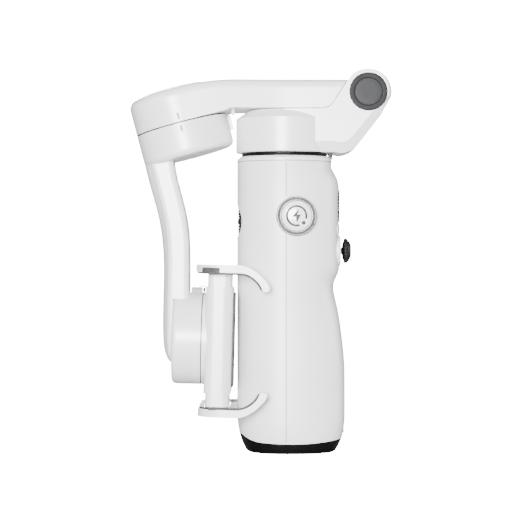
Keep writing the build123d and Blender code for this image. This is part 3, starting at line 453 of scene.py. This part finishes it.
def makeRidgeTree():
    tree, given = startTree("ridges around a ring", {
        "Count": "Int", "Ring Radius": "Float", "Ridge Radius": "Float", "Ridge Length": "Float",
        "Ridge Sides": "Int", "Centre": "Vector", "Turn": "Vector", "Finish": "Material"})
    ring = addNode(tree, "GeometryNodeMeshCircle", {}, {}, {
        "Vertices": given["Count"], "Radius": given["Ring Radius"]})
    ridge = addNode(tree, "GeometryNodeMeshCylinder", {"fill_type": "NGON"}, {}, {
        "Vertices": given["Ridge Sides"], "Radius": given["Ridge Radius"], "Depth": given["Ridge Length"]})
    outward = addNode(tree, "FunctionNodeAlignRotationToVector", {"axis": "X"}, {},
                      {"Vector": addNode(tree, "GeometryNodeInputPosition").outputs[0]})
    placed = addNode(tree, "GeometryNodeInstanceOnPoints", {}, {}, {
        "Points": ring.outputs[0], "Instance": ridge.outputs[0], "Rotation": outward.outputs[0]})
    moved = addNode(tree, "GeometryNodeTransform", {}, {}, {
        "Geometry": placed.outputs[0], "Translation": given["Centre"], "Rotation": given["Turn"]})
    endTree(tree, moved.outputs[0], given)
    return tree


def makeThreadTree():
    tree, given = startTree("screw thread", {
        "Turns": "Float", "Radius": "Float", "Height": "Float", "Crest": "Float", "Centre": "Vector",
        "Finish": "Material"})
    path = addNode(tree, "GeometryNodeCurveSpiral", {}, {"Resolution": 40}, {
        "Rotations": given["Turns"], "Start Radius": given["Radius"], "End Radius": given["Radius"],
        "Height": given["Height"]})
    section = addNode(tree, "GeometryNodeCurvePrimitiveCircle", {}, {"Resolution": 4},
                      {"Radius": given["Crest"]})
    swept = addNode(tree, "GeometryNodeCurveToMesh", {}, {"Fill Caps": True}, {
        "Curve": path.outputs[0], "Profile Curve": section.outputs[0]})
    moved = addNode(tree, "GeometryNodeTransform", {}, {}, {
        "Geometry": swept.outputs[0], "Translation": given["Centre"]})
    endTree(tree, moved.outputs[0], given)
    return tree


ridgeTree = makeRidgeTree()
threadTree = makeThreadTree()
print("ridge and thread trees made")


# ---- focus wheel: knurled rim, satin bevel, and the white key in its middle

wheelSize = {"outer": 8.8, "inner": 6.95, "bevel": 1.35, "chamfer": 0.25, "corner": 0.16, "ridges": 104,
             "ridgeRadius": 0.17, "ridgeGap": 0.35, "ridgeSides": 6}


def makeFocusWheel():
    front, back = wheelBox[0].y / mm, wheelBox[1].y / mm
    place = axisPlace((wheelCentre.x, 0, wheelCentre.z), (0, -1, 0), (1, 0, 0))
    outer, inner = wheelSize["outer"] - wheelSize["ridgeRadius"], wheelSize["inner"]
    top, bottom = -front, -back
    rim = top - wheelSize["bevel"] * 0.62
    chamfer = wheelSize["chamfer"]
    outline = [(inner, bottom), (outer - chamfer, bottom), (outer, bottom + chamfer), (outer, rim),
               (outer - wheelSize["bevel"] * 0.35, top - 0.48), (inner + 0.32, top), (inner, top - 0.14)]

    def build(shape):
        turned(shape, roundCorners(outline, wheelSize["corner"], 4, True), place, 160, True)

    ring = meshPiece("focusRing", build, chrome, "focus_wheel_ring", 40)
    middle = -(bottom + rim) / 2
    bakeTree(ring, ridgeTree, {
        "Count": wheelSize["ridges"], "Ring Radius": outer * mm,
        "Ridge Radius": wheelSize["ridgeRadius"] * mm, "Ridge Sides": wheelSize["ridgeSides"],
        "Ridge Length": (rim - bottom - wheelSize["ridgeGap"]) * mm,
        "Centre": (wheelCentre.x, middle * mm, wheelCentre.z), "Turn": (math.pi / 2, 0, 0),
        "Finish": knurlMetal}, 40)
    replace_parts(ring, "focus_wheel")


makeFocusWheel()


def pressOn(shape, rows, place, tree, lift):
    # rows of points (mm) laid on a surface along the Z of place, with a short skirt down into it
    reach, skirt = 6, 0.06
    down = -(place.to_3x3() @ Vector((0, 0, 1)))
    laid = []
    for row in rows:
        line = []
        for x, y in row:
            start = place @ Vector((x * mm, y * mm, reach * mm))
            spot = tree.ray_cast(start, down)[0] or place @ Vector((x * mm, y * mm, 0))
            line.append(shape.verts.new(spot - down * lift * mm))
        laid.append(line)
    made = []
    for low, high in zip(laid, laid[1:]):
        for k in range(len(low) - 1):
            made.append(shape.faces.new((low[k], low[k + 1], high[k + 1], high[k])))
    rim = list({edge for face in made for edge in face.edges if edge.is_boundary})
    for item in bmesh.ops.extrude_edge_only(shape, edges=rim)["geom"]:
        if isinstance(item, bmesh.types.BMVert):
            item.co += down * (lift + skirt) * mm


def surfaceOf(piece):
    faces = [list(face.vertices) for face in piece.data.polygons]
    return BVHTree.FromPolygons([vert.co for vert in piece.data.vertices], faces)


def arcRows(radius, width, start, end, steps=48):
    # a part of a ring, from one angle to another in degrees
    angles = [math.radians(start + (end - start) * k / steps) for k in range(steps + 1)]
    reaches = [radius + width * side / 2 for side in (-1, 0, 1)]
    return [[(reach * math.cos(a), reach * math.sin(a)) for a in angles] for reach in reaches]


def bandRows(low, high, steps=5):
    # between two straight edges, each given as (left x, right x, y)
    rows = []
    for k in range(steps + 1):
        left, right, height = (a + (b - a) * k / steps for a, b in zip(low, high))
        rows.append([(left + (right - left) * n / 3, height) for n in range(4)])
    return rows


def slotRows(width, height, x=0.0, y=0.0, steps=16):
    # a slot or, where the width equals the height, a round dot
    radius, rows = width / 2, []
    for k in range(steps + 1):
        up = -height / 2 + height * (1 - math.cos(math.pi * k / steps)) / 2
        over = max(abs(up) - (height / 2 - radius), 0)
        half = max(math.sqrt(max(radius * radius - over * over, 0)), 0.02)
        rows.append([(x + half * (n / 3 - 1), y + up) for n in range(7)])
    return rows


keySize = {"radius": 6.8, "rise": 0.75, "skirt": 1.9, "clips": 3, "clipReach": 4.3, "ring": 4.38,
           "ringWidth": 0.95, "ringFrom": -18, "ringTo": 288, "dot": 0.92, "dotAt": (3.12, -3.15),
           "ink": 0.02, "boltScale": 1.14}


def makeWheelKey():
    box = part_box("wheel_button")
    top = -box[0].y / mm
    place = axisPlace((wheelCentre.x, 0, wheelCentre.z), (0, -1, 0), (1, 0, 0))
    radius, rise = keySize["radius"], keySize["rise"]
    dome = [(radius * k / 14, top - rise * (k / 14) ** 2) for k in range(14)]
    bottom = top - keySize["skirt"]
    skirt = [(radius - 0.02, top - rise - 0.1), (radius, top - rise - 0.35), (radius, bottom), (0, bottom)]
    # a clip starts a little above the underside of the key
    clip = [(0, top - 4.2), (0.55, top - 4.05), (0.7, top - 3.6), (0.5, top - 1.8), (0, top - 1.8)]

    def build(shape):
        turned(shape, dome + skirt, place, 96)
        for turn in range(keySize["clips"]):
            # clips that hold the key in the wheel's seat
            spin = place @ Matrix.Rotation(math.radians(360 / keySize["clips"] * turn + 30), 4, "Z")
            turned(shape, clip, spin @ Matrix.Translation((keySize["clipReach"] * mm, 0, 0)), 20)

    key = meshPiece("wheelKey", build, capGloss, "wheel_centre", 30)
    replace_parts(key, "wheel_button")
    surface = surfaceOf(key)
    # seen from the front, X runs to the right and Y up
    middle = (wheelCentre.x, -top * mm, wheelCentre.z)
    facing = Matrix.Translation(middle) @ Matrix.Rotation(math.pi / 2, 4, "X")
    grow = keySize["boltScale"]
    # the three slanting bands of the lightning sign, from its point upwards
    bands = (((0.0, 0.06, -2.7), (-0.28, 1.3, -0.42)),
             ((-1.95, 1.3, -0.42), (-1.1, 1.85, 0.5)),
             ((-1.1, 0.3, 0.5), (0.94, 1.0, 2.75)))
    marks = [arcRows(keySize["ring"], keySize["ringWidth"], keySize["ringFrom"], keySize["ringTo"]),
             slotRows(2 * keySize["dot"], 2 * keySize["dot"], *keySize["dotAt"]),
             *[bandRows([v * grow for v in low], [v * grow for v in high]) for low, high in bands]]

    def printMarks(shape):
        for rows in marks:
            pressOn(shape, rows, facing, surface, keySize["ink"])

    meshPiece("wheelKeyMarks", printMarks, keyInk, "wheel_centre", 20)


makeWheelKey()
print("focus wheel and key made")


# ---- handle: painted shadow lines where its mouldings meet

seamShadowSize = {"width": 0.34, "lift": 0.015, "rows": 120, "turns": 180, "jump": 3.6, "cast": 60, "miss": 52,
            "collarRise": 0.25}


def ribbonOn(shape, surfaces, spots, closed=False):
    # spots: (start, direction, across); a narrow strip laid where each ray first meets a surface,
    # left open where a ray goes too far (miss) or the strip would have to jump
    rows = []
    for start, direction, across in spots:
        pair = []
        for side in (-1, 1):
            aim = start + across * side * seamShadowSize["width"] * mm / 2
            hits = [surface.ray_cast(aim, direction)[::3] for surface in surfaces]
            hits = [(far, hit) for hit, far in hits if hit is not None and far < seamShadowSize["miss"] * mm]
            if hits:
                pair.append(min(hits)[1] - direction * seamShadowSize["lift"] * mm)
        rows.append([shape.verts.new(spot) for spot in pair] if len(pair) == 2 else None)
    if closed:
        rows.append(rows[0])
    for low, high in zip(rows, rows[1:]):
        if low and high and (low[0].co - high[0].co).length < seamShadowSize["jump"] * mm:
            shape.faces.new((low[0], low[1], high[1], high[0]))


def makeSeamShadows():
    shells = [surfaceOf(nodes[node]) for node in ("front_shell", "rear_shell")]
    seamX, base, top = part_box("rear_shell")[1].x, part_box("rear_shell")[0].z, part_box("rear_shell")[1].z
    cast = seamShadowSize["cast"] * mm

    def halves(shape):
        # down both sides of the grip, where its two shells meet
        heights = [base + (top - base) * k / seamShadowSize["rows"] for k in range(1, seamShadowSize["rows"])]
        for side in (-1, 1):
            ribbonOn(shape, shells, [
                (Vector((seamX, side * cast, height)), Vector((0, -side, 0)), Vector((1, 0, 0)))
                for height in heights])

    def ring(shape):
        # around the foot of the collar
        lift = Vector((0, 0, top + seamShadowSize["collarRise"] * mm))
        spots = []
        for k in range(seamShadowSize["turns"]):
            angle = 2 * math.pi * k / seamShadowSize["turns"]
            radial = Vector((math.cos(angle), math.sin(angle), 0))
            spots.append((radial * cast + lift, -radial, Vector((0, 0, 1))))
        ribbonOn(shape, [surfaceOf(nodes["top_collar"])], spots, True)

    # dark strips of painted shade along the seams, standing in for the shadow in their gaps
    meshPiece("handleSeamShadow", halves, seamShade, "handle", 60)
    meshPiece("collarSeamShadow", ring, seamShade, "handle", 60)


makeSeamShadows()
print("handle seams made")


# ---- fold hinge: grey turned discs, the near one with a lighter inlay

discSize = {"outer": 8.7, "inlay": 6.15, "groove": 0.18, "round": 0.28, "under": 0.5, "sink": 0.16,
            "dish": 0.45}


def makeHingeDiscs():
    near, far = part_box("hinge_cap"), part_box("hinge_rear_cap")
    place = axisPlace((hingeCentre.x, 0, hingeCentre.z), (0, -1, 0), (1, 0, 0))
    face, back = -near[0].y / mm, -near[1].y / mm
    outer, inlay, gap = discSize["outer"], discSize["inlay"], discSize["groove"]
    under, dish = discSize["under"], discSize["dish"]

    def ring(shape):
        # the ring reaches in under the inlay, so nothing shows through the groove between them
        outline = [(inlay - under, back), (outer, back), (outer, face), (inlay + gap, face),
                   (inlay + gap, face - 0.5), (inlay - under, face - 0.55)]
        turned(shape, roundCorners(outline, discSize["round"], 4, True), place, 128, True)

    def disc(shape):
        top = face - discSize["sink"]
        outline = [(0, top), (1.4, top), (3.1, top), (inlay, top), (inlay, face - 0.52), (0, face - 0.52)]
        turned(shape, roundCorners(outline, 0.16), place, 128)

    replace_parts(meshPiece("hingeRing", ring, discOuter, "pan_group"), "hinge_cap")
    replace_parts(meshPiece("hingeInlay", disc, discInner, "pan_group"), "hinge_insert")
    rearPlace = axisPlace((hingeCentre.x, 0, hingeCentre.z), (0, 1, 0), (1, 0, 0))
    rearFace, rearBack = far[1].y / mm, far[0].y / mm

    def rear(shape):
        outline = [(0, rearFace - dish), (inlay - 0.3, rearFace - dish), (inlay, rearFace - 0.1),
                   (inlay + 0.3, rearFace), (outer, rearFace), (outer, rearBack), (0, rearBack)]
        turned(shape, roundCorners(outline, discSize["round"]), rearPlace, 128)

    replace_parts(meshPiece("hingeRearDisc", rear, discOuter, "pan_group"), "hinge_rear_cap")


makeHingeDiscs()
print("hinge discs made")


# ---- motors: raised cover, black rings of painted shade in the seams, ribbed seal under the pan motor, alignment marks

motorSize = {"radius": 21.35, "cover": 14.6, "coverCrown": 0.68, "coverCorner": 0.32, "gapShadowRadius": 21.15,
             "gapShadowInner": 19.35, "tiltGapShadow": (-0.62, -0.03), "rollGapShadow": (-0.45, 0.2), "panInner": 15.2,
             "markWidth": 0.95, "markHeight": 3.1, "markLift": 0.03, "markUpper": 2.6, "markLower": -3.1}


def makeMotorCover():
    place = axisPlace(tiltCentre, tiltAxis)
    heights = [(vert.co - tiltCentre).dot(tiltAxis) / mm for vert in nodes["tilt_cover"].data.vertices]
    radius, top = motorSize["cover"], max(heights)
    rim = top - motorSize["coverCrown"]
    crown = [(radius * k / 10, top - (top - rim) * (k / 10) ** 2) for k in range(11)]
    outline = crown + [(radius, min(heights)), (0, min(heights))]

    def build(shape):
        turned(shape, roundCorners(outline, motorSize["coverCorner"]), place, 128)

    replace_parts(meshPiece("motorCover", build, armPaint, "upper_group"), "tilt_cover")


def makeGapShadowsAndSeal():
    tilt = axisPlace(tiltCentre, tiltAxis)
    roll = axisPlace(rollCentre, rollAxis, (0, 0, 1))
    outer, inner = motorSize["gapShadowRadius"], motorSize["gapShadowInner"]

    # black rings just under the surface in the tilt and roll seams: painted shade, a dark sheet that makes each
    # gap read as shadow
    def lip(shape, place, low, high):
        outline = [(inner, low), (outer, low), (outer, high), (inner, high)]
        turned(shape, roundCorners(outline, 0.08, 3, True), place, 128, True)

    def tiltGapShade(shape):
        lip(shape, tilt, *motorSize["tiltGapShadow"])

    def rollGapShade(shape):
        lip(shape, roll, *motorSize["rollGapShadow"])

    meshPiece("tiltGapShadow", tiltGapShade, sealRubber, "swing_group")
    meshPiece("rollGapShadow", rollGapShade, sealRubber, "swing_group")
    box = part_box("pan_seal_ring")
    low, high, radius = box[0].z / mm, box[1].z / mm, box[1].x / mm

    def panRing(shape):
        # chamfered edges, and one groove around the middle
        middle, inside = (low + high) / 2, motorSize["panInner"]
        outline = [(inside, low), (radius - 0.25, low), (radius, low + 0.22), (radius, middle - 0.16),
                   (radius - 0.42, middle - 0.05), (radius - 0.42, middle + 0.05), (radius, middle + 0.16),
                   (radius, high - 0.22), (radius - 0.25, high), (inside, high)]
        turned(shape, roundCorners(outline, 0.12, 3, True), Matrix.Identity(4), 128, True)

    ring = meshPiece("panSealRing", panRing, sealRubber, "handle")
    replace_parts(ring, "pan_seal_ring")


def makeMotorMarks():
    # a short filled groove on each side of the seam shows where the motor is centred
    up, out = tiltAxis, Vector((0, -1, 0))
    facing = Matrix((up.cross(out), up, out)).transposed().to_4x4()
    width, height = motorSize["markWidth"], motorSize["markHeight"]
    for name, node, offset in (("motorMarkUpper", "upper_arm", motorSize["markUpper"]),
                               ("motorMarkLower", "swing_arm", motorSize["markLower"])):
        spot = tiltCentre + up * offset * mm + Vector((0, -motorSize["radius"] * mm, 0))
        place = Matrix.Translation(spot) @ facing

        def build(shape, place=place, node=node):
            pressOn(shape, slotRows(width, height), place, surfaceOf(nodes[node]), motorSize["markLift"])

        meshPiece(name, build, markGrey, nodeBody[node])


makeMotorCover()
makeGapShadowsAndSeal()
makeMotorMarks()
print("motor details made")


# ---- clamp: stop tab and a black block of painted shade over the roll motor, ribs on the jaw pads

# the tab is measured from the roll axis: how far back along it, and how far above it
clampSize = {"tabBack": -37.95 - rollCentre.x / mm, "tabHigh": 76.45 - rollCentre.z / mm,
             "tab": (3.3, 4.4, 0.5), "grooveShadeBlock": (0.95, 4.0, 2.1), "grooveShadeBlockAt": (0.8, 0, -1.7),
             "ribs": 8, "ribPitch": 1.5, "ribRadius": 0.26, "ribLength": 5.0, "ribMiddle": 13.0,
             "ribSide": 25.6, "ribRise": 0.10, "slopeSpan": 8,
             "lip": 0.95, "lipWide": 0.9, "lipEdge": 29.7, "lipFrom": 2.4, "lipTo": 3.3, "lipSunk": 0.2,
             "lipRay": 1.6, "lipCast": 15, "lipSteps": 48}


def roundedBlock(shape, size, place, edge=0.15):
    # a small moulded block (mm), centred on place, with softened edges
    made = bmesh.ops.create_cube(shape, size=1.0)["verts"]
    for vert in made:
        vert.co = Vector([c * s * mm for c, s in zip(vert.co, size)])
    edges = list({item for vert in made for item in vert.link_edges})
    bmesh.ops.bevel(shape, geom=edges, offset=edge * mm, segments=3, profile=0.5, affect="EDGES")
    bmesh.ops.transform(shape, matrix=place, verts=list(shape.verts))


def makeClampDetails():
    tab = Matrix.Translation(rollCentre + Vector((clampSize["tabBack"], 0, clampSize["tabHigh"])) * mm)
    grooveShadeBlock = tab @ Matrix.Translation(Vector(clampSize["grooveShadeBlockAt"]) * mm)

    def tabShape(shape):
        roundedBlock(shape, clampSize["tab"], tab, 0.12)

    # a black rubber block in the groove between housing and sleeve: painted shade for the groove's shadow
    def grooveShadeShape(shape):
        roundedBlock(shape, clampSize["grooveShadeBlock"], grooveShadeBlock, 0.2)

    meshPiece("clampStopTab", tabShape, slideBlack, "clamp_group")
    meshPiece("clampGrooveShade", grooveShadeShape, sealRubber, "clamp_group")


def makeRibTree():
    tree, given = startTree("row of ribs", {
        "Count": "Int", "Pitch": "Vector", "Rib Radius": "Float", "Rib Length": "Float", "Start": "Vector",
        "Finish": "Material"})
    line = addNode(tree, "GeometryNodeMeshLine", {"mode": "OFFSET"}, {}, {
        "Count": given["Count"], "Start Location": given["Start"], "Offset": given["Pitch"]})
    rib = addNode(tree, "GeometryNodeMeshCylinder", {"fill_type": "NGON"}, {"Vertices": 12}, {
        "Radius": given["Rib Radius"], "Depth": given["Rib Length"]})
    lying = addNode(tree, "GeometryNodeTransform", {}, {"Rotation": (math.pi / 2, 0, 0)},
                    {"Geometry": rib.outputs[0]})
    placed = addNode(tree, "GeometryNodeInstanceOnPoints", {}, {}, {
        "Points": line.outputs[0], "Instance": lying.outputs[0]})
    endTree(tree, placed.outputs[0], given)
    return tree


ribTree = makeRibTree()


def makeJawRibs():
    # a row of ribs on each end of each jaw pad, following the pad's slope
    pitch, span = clampSize["ribPitch"] * mm, clampSize["slopeSpan"]
    for name, node, body, up in (("upperJawRibs", "upper_jaw_pad", "upper_jaw_set", 1),
                                 ("lowerJawRibs", "lower_jaw_pad", "lower_jaw_set", -1)):
        tree = surfaceOf(nodes[node])
        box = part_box(node)
        first = box[0].x + clampSize["ribMiddle"] * mm - clampSize["ribs"] * pitch / 2
        for side, label in ((-1, "Near"), (1, "Far")):
            y = side * clampSize["ribSide"] * mm
            casts = [Vector((first + k * mm, y, rollCentre.z)) for k in (0, span)]
            ends = [tree.ray_cast(cast, Vector((0, 0, up)))[0] for cast in casts]
            slope = (ends[1].z - ends[0].z) / (span * mm)
            start = ends[0] + Vector((0, 0, up * clampSize["ribRise"] * mm))
            piece = meshPiece(name + label, lambda shape: None, edgeRubber, body)
            bakeTree(piece, ribTree, {
                "Count": clampSize["ribs"], "Pitch": (pitch, 0, pitch * slope), "Start": tuple(start),
                "Rib Radius": clampSize["ribRadius"] * mm, "Rib Length": clampSize["ribLength"] * mm,
                "Finish": edgeRubber})


def makeJawLips():
    # the rubber shows as a thick grey edge along the underside of each jaw
    lip, wide, edge = clampSize["lip"], clampSize["lipWide"], clampSize["lipEdge"]
    sunk, steps = clampSize["lipSunk"], clampSize["lipSteps"]
    for name, node, body, up in (("upperJawLip", "upper_jaw", "upper_jaw_set", 1),
                                 ("lowerJawLip", "lower_jaw", "lower_jaw_set", -1)):
        tree = surfaceOf(nodes[node])
        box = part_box(node)
        first, last = box[0].x + clampSize["lipFrom"] * mm, box[1].x - clampSize["lipTo"] * mm

        def build(shape, tree=tree, first=first, last=last, up=up):
            for side in (-1, 1):
                rings = []
                for k in range(steps + 1):
                    x = first + (last - first) * k / steps
                    start = Vector((x, side * (edge - clampSize["lipRay"]) * mm,
                                    rollCentre.z + up * clampSize["lipCast"] * mm))
                    hit, normal = tree.ray_cast(start, Vector((0, 0, up)))[:2]
                    if hit is not None:
                        # out of the jaw, towards the phone's side
                        away = Vector((normal.x, 0, normal.z)).normalized()
                        away *= -1 if away.z * up > 0 else 1
                        inner, outer = hit - away * sunk * mm, hit + away * lip * mm
                        near, far = side * edge * mm, side * (edge - wide) * mm
                        spots = [(inner, near), (outer, near), (outer, far), (inner, far)]
                        rings.append([shape.verts.new((spot.x, y, spot.z)) for spot, y in spots])
                for low, high in zip(rings, rings[1:]):
                    for n in range(4):
                        shape.faces.new((low[n], low[(n + 1) % 4], high[(n + 1) % 4], high[n]))
                shape.faces.new(rings[0])
                shape.faces.new(rings[-1])

        meshPiece(name, build, edgeRubber, body, 30)


makeClampDetails()
makeJawRibs()
makeJawLips()
print("clamp details made")


# ---- thumb controls: stick, window icons, key marks

stickSize = {"radius": 5.7, "ridges": 30, "ridgeRadius": 0.26, "ridgeLength": 1.5, "ridgeInset": 0.24,
             "ridgeBack": 2.6, "ridgeSides": 8}


def makeThumbStick():
    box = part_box("joystick_cap")
    front = box[1].x / mm
    pivot = Vector(joints["stick_yaw"]["pos_m"])
    place = axisPlace((0, 0, pivot.z), (1, 0, 0))
    radius = stickSize["radius"]
    # the cap: dished face, rounded rim, sloping back
    cap = [(0, front - 0.35), (1.4, front - 0.25), (2.6, front), (4.2, front - 0.75), (5.2, front - 1.6),
           (radius, front - 2.7), (5.35, front - 3.3), (4.2, front - 3.8), (2.4, front - 4.25),
           (1.5, front - 4.3)]
    # the stem down to the ball, measured from the handle's axis
    stem = [(1.4, 24.4), (2.0, 23.6), (2.6, 22.2), (2.0, 20.6), (1.0, 19.6), (0, 19.4)]

    def build(shape):
        turned(shape, roundCorners(cap + stem, 0.4, 4), place, 96)

    stick = meshPiece("thumbStick", build, sealRubber, "stick")
    bakeTree(stick, ridgeTree, {
        "Count": stickSize["ridges"], "Ring Radius": (radius - stickSize["ridgeInset"]) * mm,
        "Ridge Radius": stickSize["ridgeRadius"] * mm, "Ridge Sides": stickSize["ridgeSides"],
        "Ridge Length": stickSize["ridgeLength"] * mm,
        "Centre": ((front - stickSize["ridgeBack"]) * mm, 0, pivot.z), "Turn": (0, math.pi / 2, 0),
        "Finish": sealRubber})
    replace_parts(stick, "joystick_cap")


markSize = {"lift": 0.02, "chargeDot": 0.8, "chargeSide": -2.6, "chargeLow": -3.6, "chargePitch": 2.4,
            "modeSide": 1.7, "modeRise": 2.4, "modeRing": 1.7, "modeDot": 0.7, "barDrop": 2.6}


def makePanelMarks():
    # seen from the thumb side: X of the marks runs along +Y, their Y is up
    facing = Matrix((Vector((0, 1, 0)), Vector((0, 0, 1)), Vector((1, 0, 0)))).transposed().to_4x4()

    def placeAt(node, y, z):
        return Matrix.Translation((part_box(node)[1].x, y * mm, z * mm)) @ facing

    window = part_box("display_window")
    middle = (window[0].z + window[1].z) / 2 / mm
    glass = surfaceOf(nodes["display_window"])

    lift, charge, dot = markSize["lift"], markSize["chargeDot"], markSize["modeDot"]
    side, rise, drop = markSize["modeSide"], markSize["modeRise"], markSize["barDrop"]

    def icons(shape):
        # four charge dots, a follow-mode ring around a dot, and a link bar
        spots = [(slotRows(charge, charge), markSize["chargeSide"],
                  middle + markSize["chargeLow"] + markSize["chargePitch"] * step) for step in range(4)]
        spots += [(arcRows(markSize["modeRing"], 0.35, 30, 330), side, middle + rise),
                  (slotRows(dot, dot), side, middle + rise),
                  (slotRows(0.5, 3.0), side, middle - drop)]
        for rows, y, z in spots:
            pressOn(shape, rows, placeAt("display_window", y, z), glass, lift)

    meshPiece("windowIcons", icons, iconFilm, "handle")
    for name, node, rows, ink, body in (
            ("recordDot", "record_button", slotRows(1.7, 1.7), redLacquer, "record_key"),
            ("modeRing", "mode_button", arcRows(0.95, 0.34, 0, 360), keyInk, "mode_key")):
        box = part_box(node)
        centre = (box[0] + box[1]) / 2 / mm

        def build(shape, rows=rows, node=node, centre=centre):
            pressOn(shape, rows, placeAt(node, centre.y, centre.z), surfaceOf(nodes[node]), lift)

        meshPiece(name, build, ink, body)


makeThumbStick()
makePanelMarks()
print("thumb controls made")


# ---- tripod socket: the thread itself

threadSize = {"bore": 2.6, "sunk": 0.1, "pitch": 1.27, "depth": 8.0, "ends": 0.5, "crest": 0.32}


def makeTripodThread():
    piece = meshPiece("tripodThread", lambda shape: None, brass, "handle")
    # the thread stops short of both ends, and its root is sunk into the wall of the bore
    length = threadSize["depth"] - 2 * threadSize["ends"]
    radius = threadSize["bore"] + threadSize["sunk"]
    bakeTree(piece, threadTree, {
        "Turns": length / threadSize["pitch"], "Radius": radius * mm, "Height": length * mm,
        "Crest": threadSize["crest"] * mm, "Centre": (0, 0, threadSize["ends"] * mm), "Finish": brass}, 50)


makeTripodThread()
print("tripod thread made")


# ---- floor, light and camera

studio = {"camera": (-11.8 * mm, -883 * mm, 89 * mm), "lens": 132.3, "sensor": 36, "backdrop": 24.0,
          "ambient": 0.2, "floorSpan": 6.0, "floorDrop": 0.2 * mm, "floorGlow": 1.17, "floorShare": 0.8,
          "aim": (0, 0, 0.09)}
# where each light stands, the side of its square and its power, in metres and watts
softboxes = {
    "front softbox": ((-0.16, -1.24, 0.2), 0.36, 54),
    "top softbox": ((0.0, -0.2, 1.5), 0.6, 3),
    "back softbox": ((-0.1, 1.5, 0.5), 0.5, 40),
    "side softbox": ((1.4, 0.15, 0.3), 0.6, 12),
}


def makeStudio():
    floorMesh = bpy.data.meshes.new("floor")
    span = studio["floorSpan"]
    corners = [(-span, -span, 0), (span, -span, 0), (span, span, 0), (-span, span, 0)]
    floorMesh.from_pydata(corners, [], [(0, 1, 2, 3)])
    floor = bpy.data.objects.new("floor", floorMesh)
    bpy.context.scene.collection.objects.link(floor)
    floor.location.z = -studio["floorDrop"]
    material, tree, shader = startMaterial("pale studio floor", {
        "Base Color": hexColour("#8C8C8C"), "Roughness": 0.9, "Specular IOR Level": 0.1})
    floorMesh.materials.append(material)
    # the sweep reads as lit paper, while its bounce onto the object stays low
    glow = addNode(tree, "ShaderNodeEmission", {}, {
        "Color": (1, 1, 1, 1), "Strength": studio["backdrop"] * studio["floorGlow"]})
    seen = addNode(tree, "ShaderNodeLightPath").outputs["Is Camera Ray"]
    share = maths(tree, "MULTIPLY", seen, studio["floorShare"])
    mix = addNode(tree, "ShaderNodeMixShader", {}, {}, {0: share, 1: shader.outputs[0], 2: glow.outputs[0]})
    tree.links.new(mix.outputs[0], tree.nodes["Material Output"].inputs["Surface"])

    world = bpy.data.worlds.new("studio")
    world.use_nodes = True
    bpy.context.scene.world = world
    tree = world.node_tree
    soft = tree.nodes["Background"]
    soft.inputs["Color"].default_value = (1, 1, 1, 1)
    soft.inputs["Strength"].default_value = studio["ambient"]
    paper = addNode(tree, "ShaderNodeBackground", {}, {"Color": (1, 1, 1, 1), "Strength": studio["backdrop"]})
    seen = addNode(tree, "ShaderNodeLightPath").outputs["Is Camera Ray"]
    mix = addNode(tree, "ShaderNodeMixShader", {}, {}, {0: seen, 1: soft.outputs[0], 2: paper.outputs[0]})
    tree.links.new(mix.outputs[0], tree.nodes["World Output"].inputs["Surface"])

    for name, (place, width, power) in softboxes.items():
        light = bpy.data.lights.new(name, "AREA")
        light.shape = "RECTANGLE"
        light.size, light.size_y = width, width
        light.energy = power
        lamp = bpy.data.objects.new(name, light)
        lamp.location = place
        lamp.rotation_mode = "QUATERNION"
        lamp.rotation_quaternion = (Vector(studio["aim"]) - Vector(place)).to_track_quat("-Z", "Y")
        bpy.context.scene.collection.objects.link(lamp)

    camera = bpy.data.cameras.new("camera")
    camera.lens = studio["lens"]
    camera.sensor_width = studio["sensor"]
    camera.clip_start, camera.clip_end = 0.01, 30
    view = bpy.data.objects.new("camera", camera)
    view.location = studio["camera"]
    view.rotation_euler = (math.pi / 2, 0, 0)
    bpy.context.scene.collection.objects.link(view)
    bpy.context.scene.camera = view


makeStudio()
print("studio made")
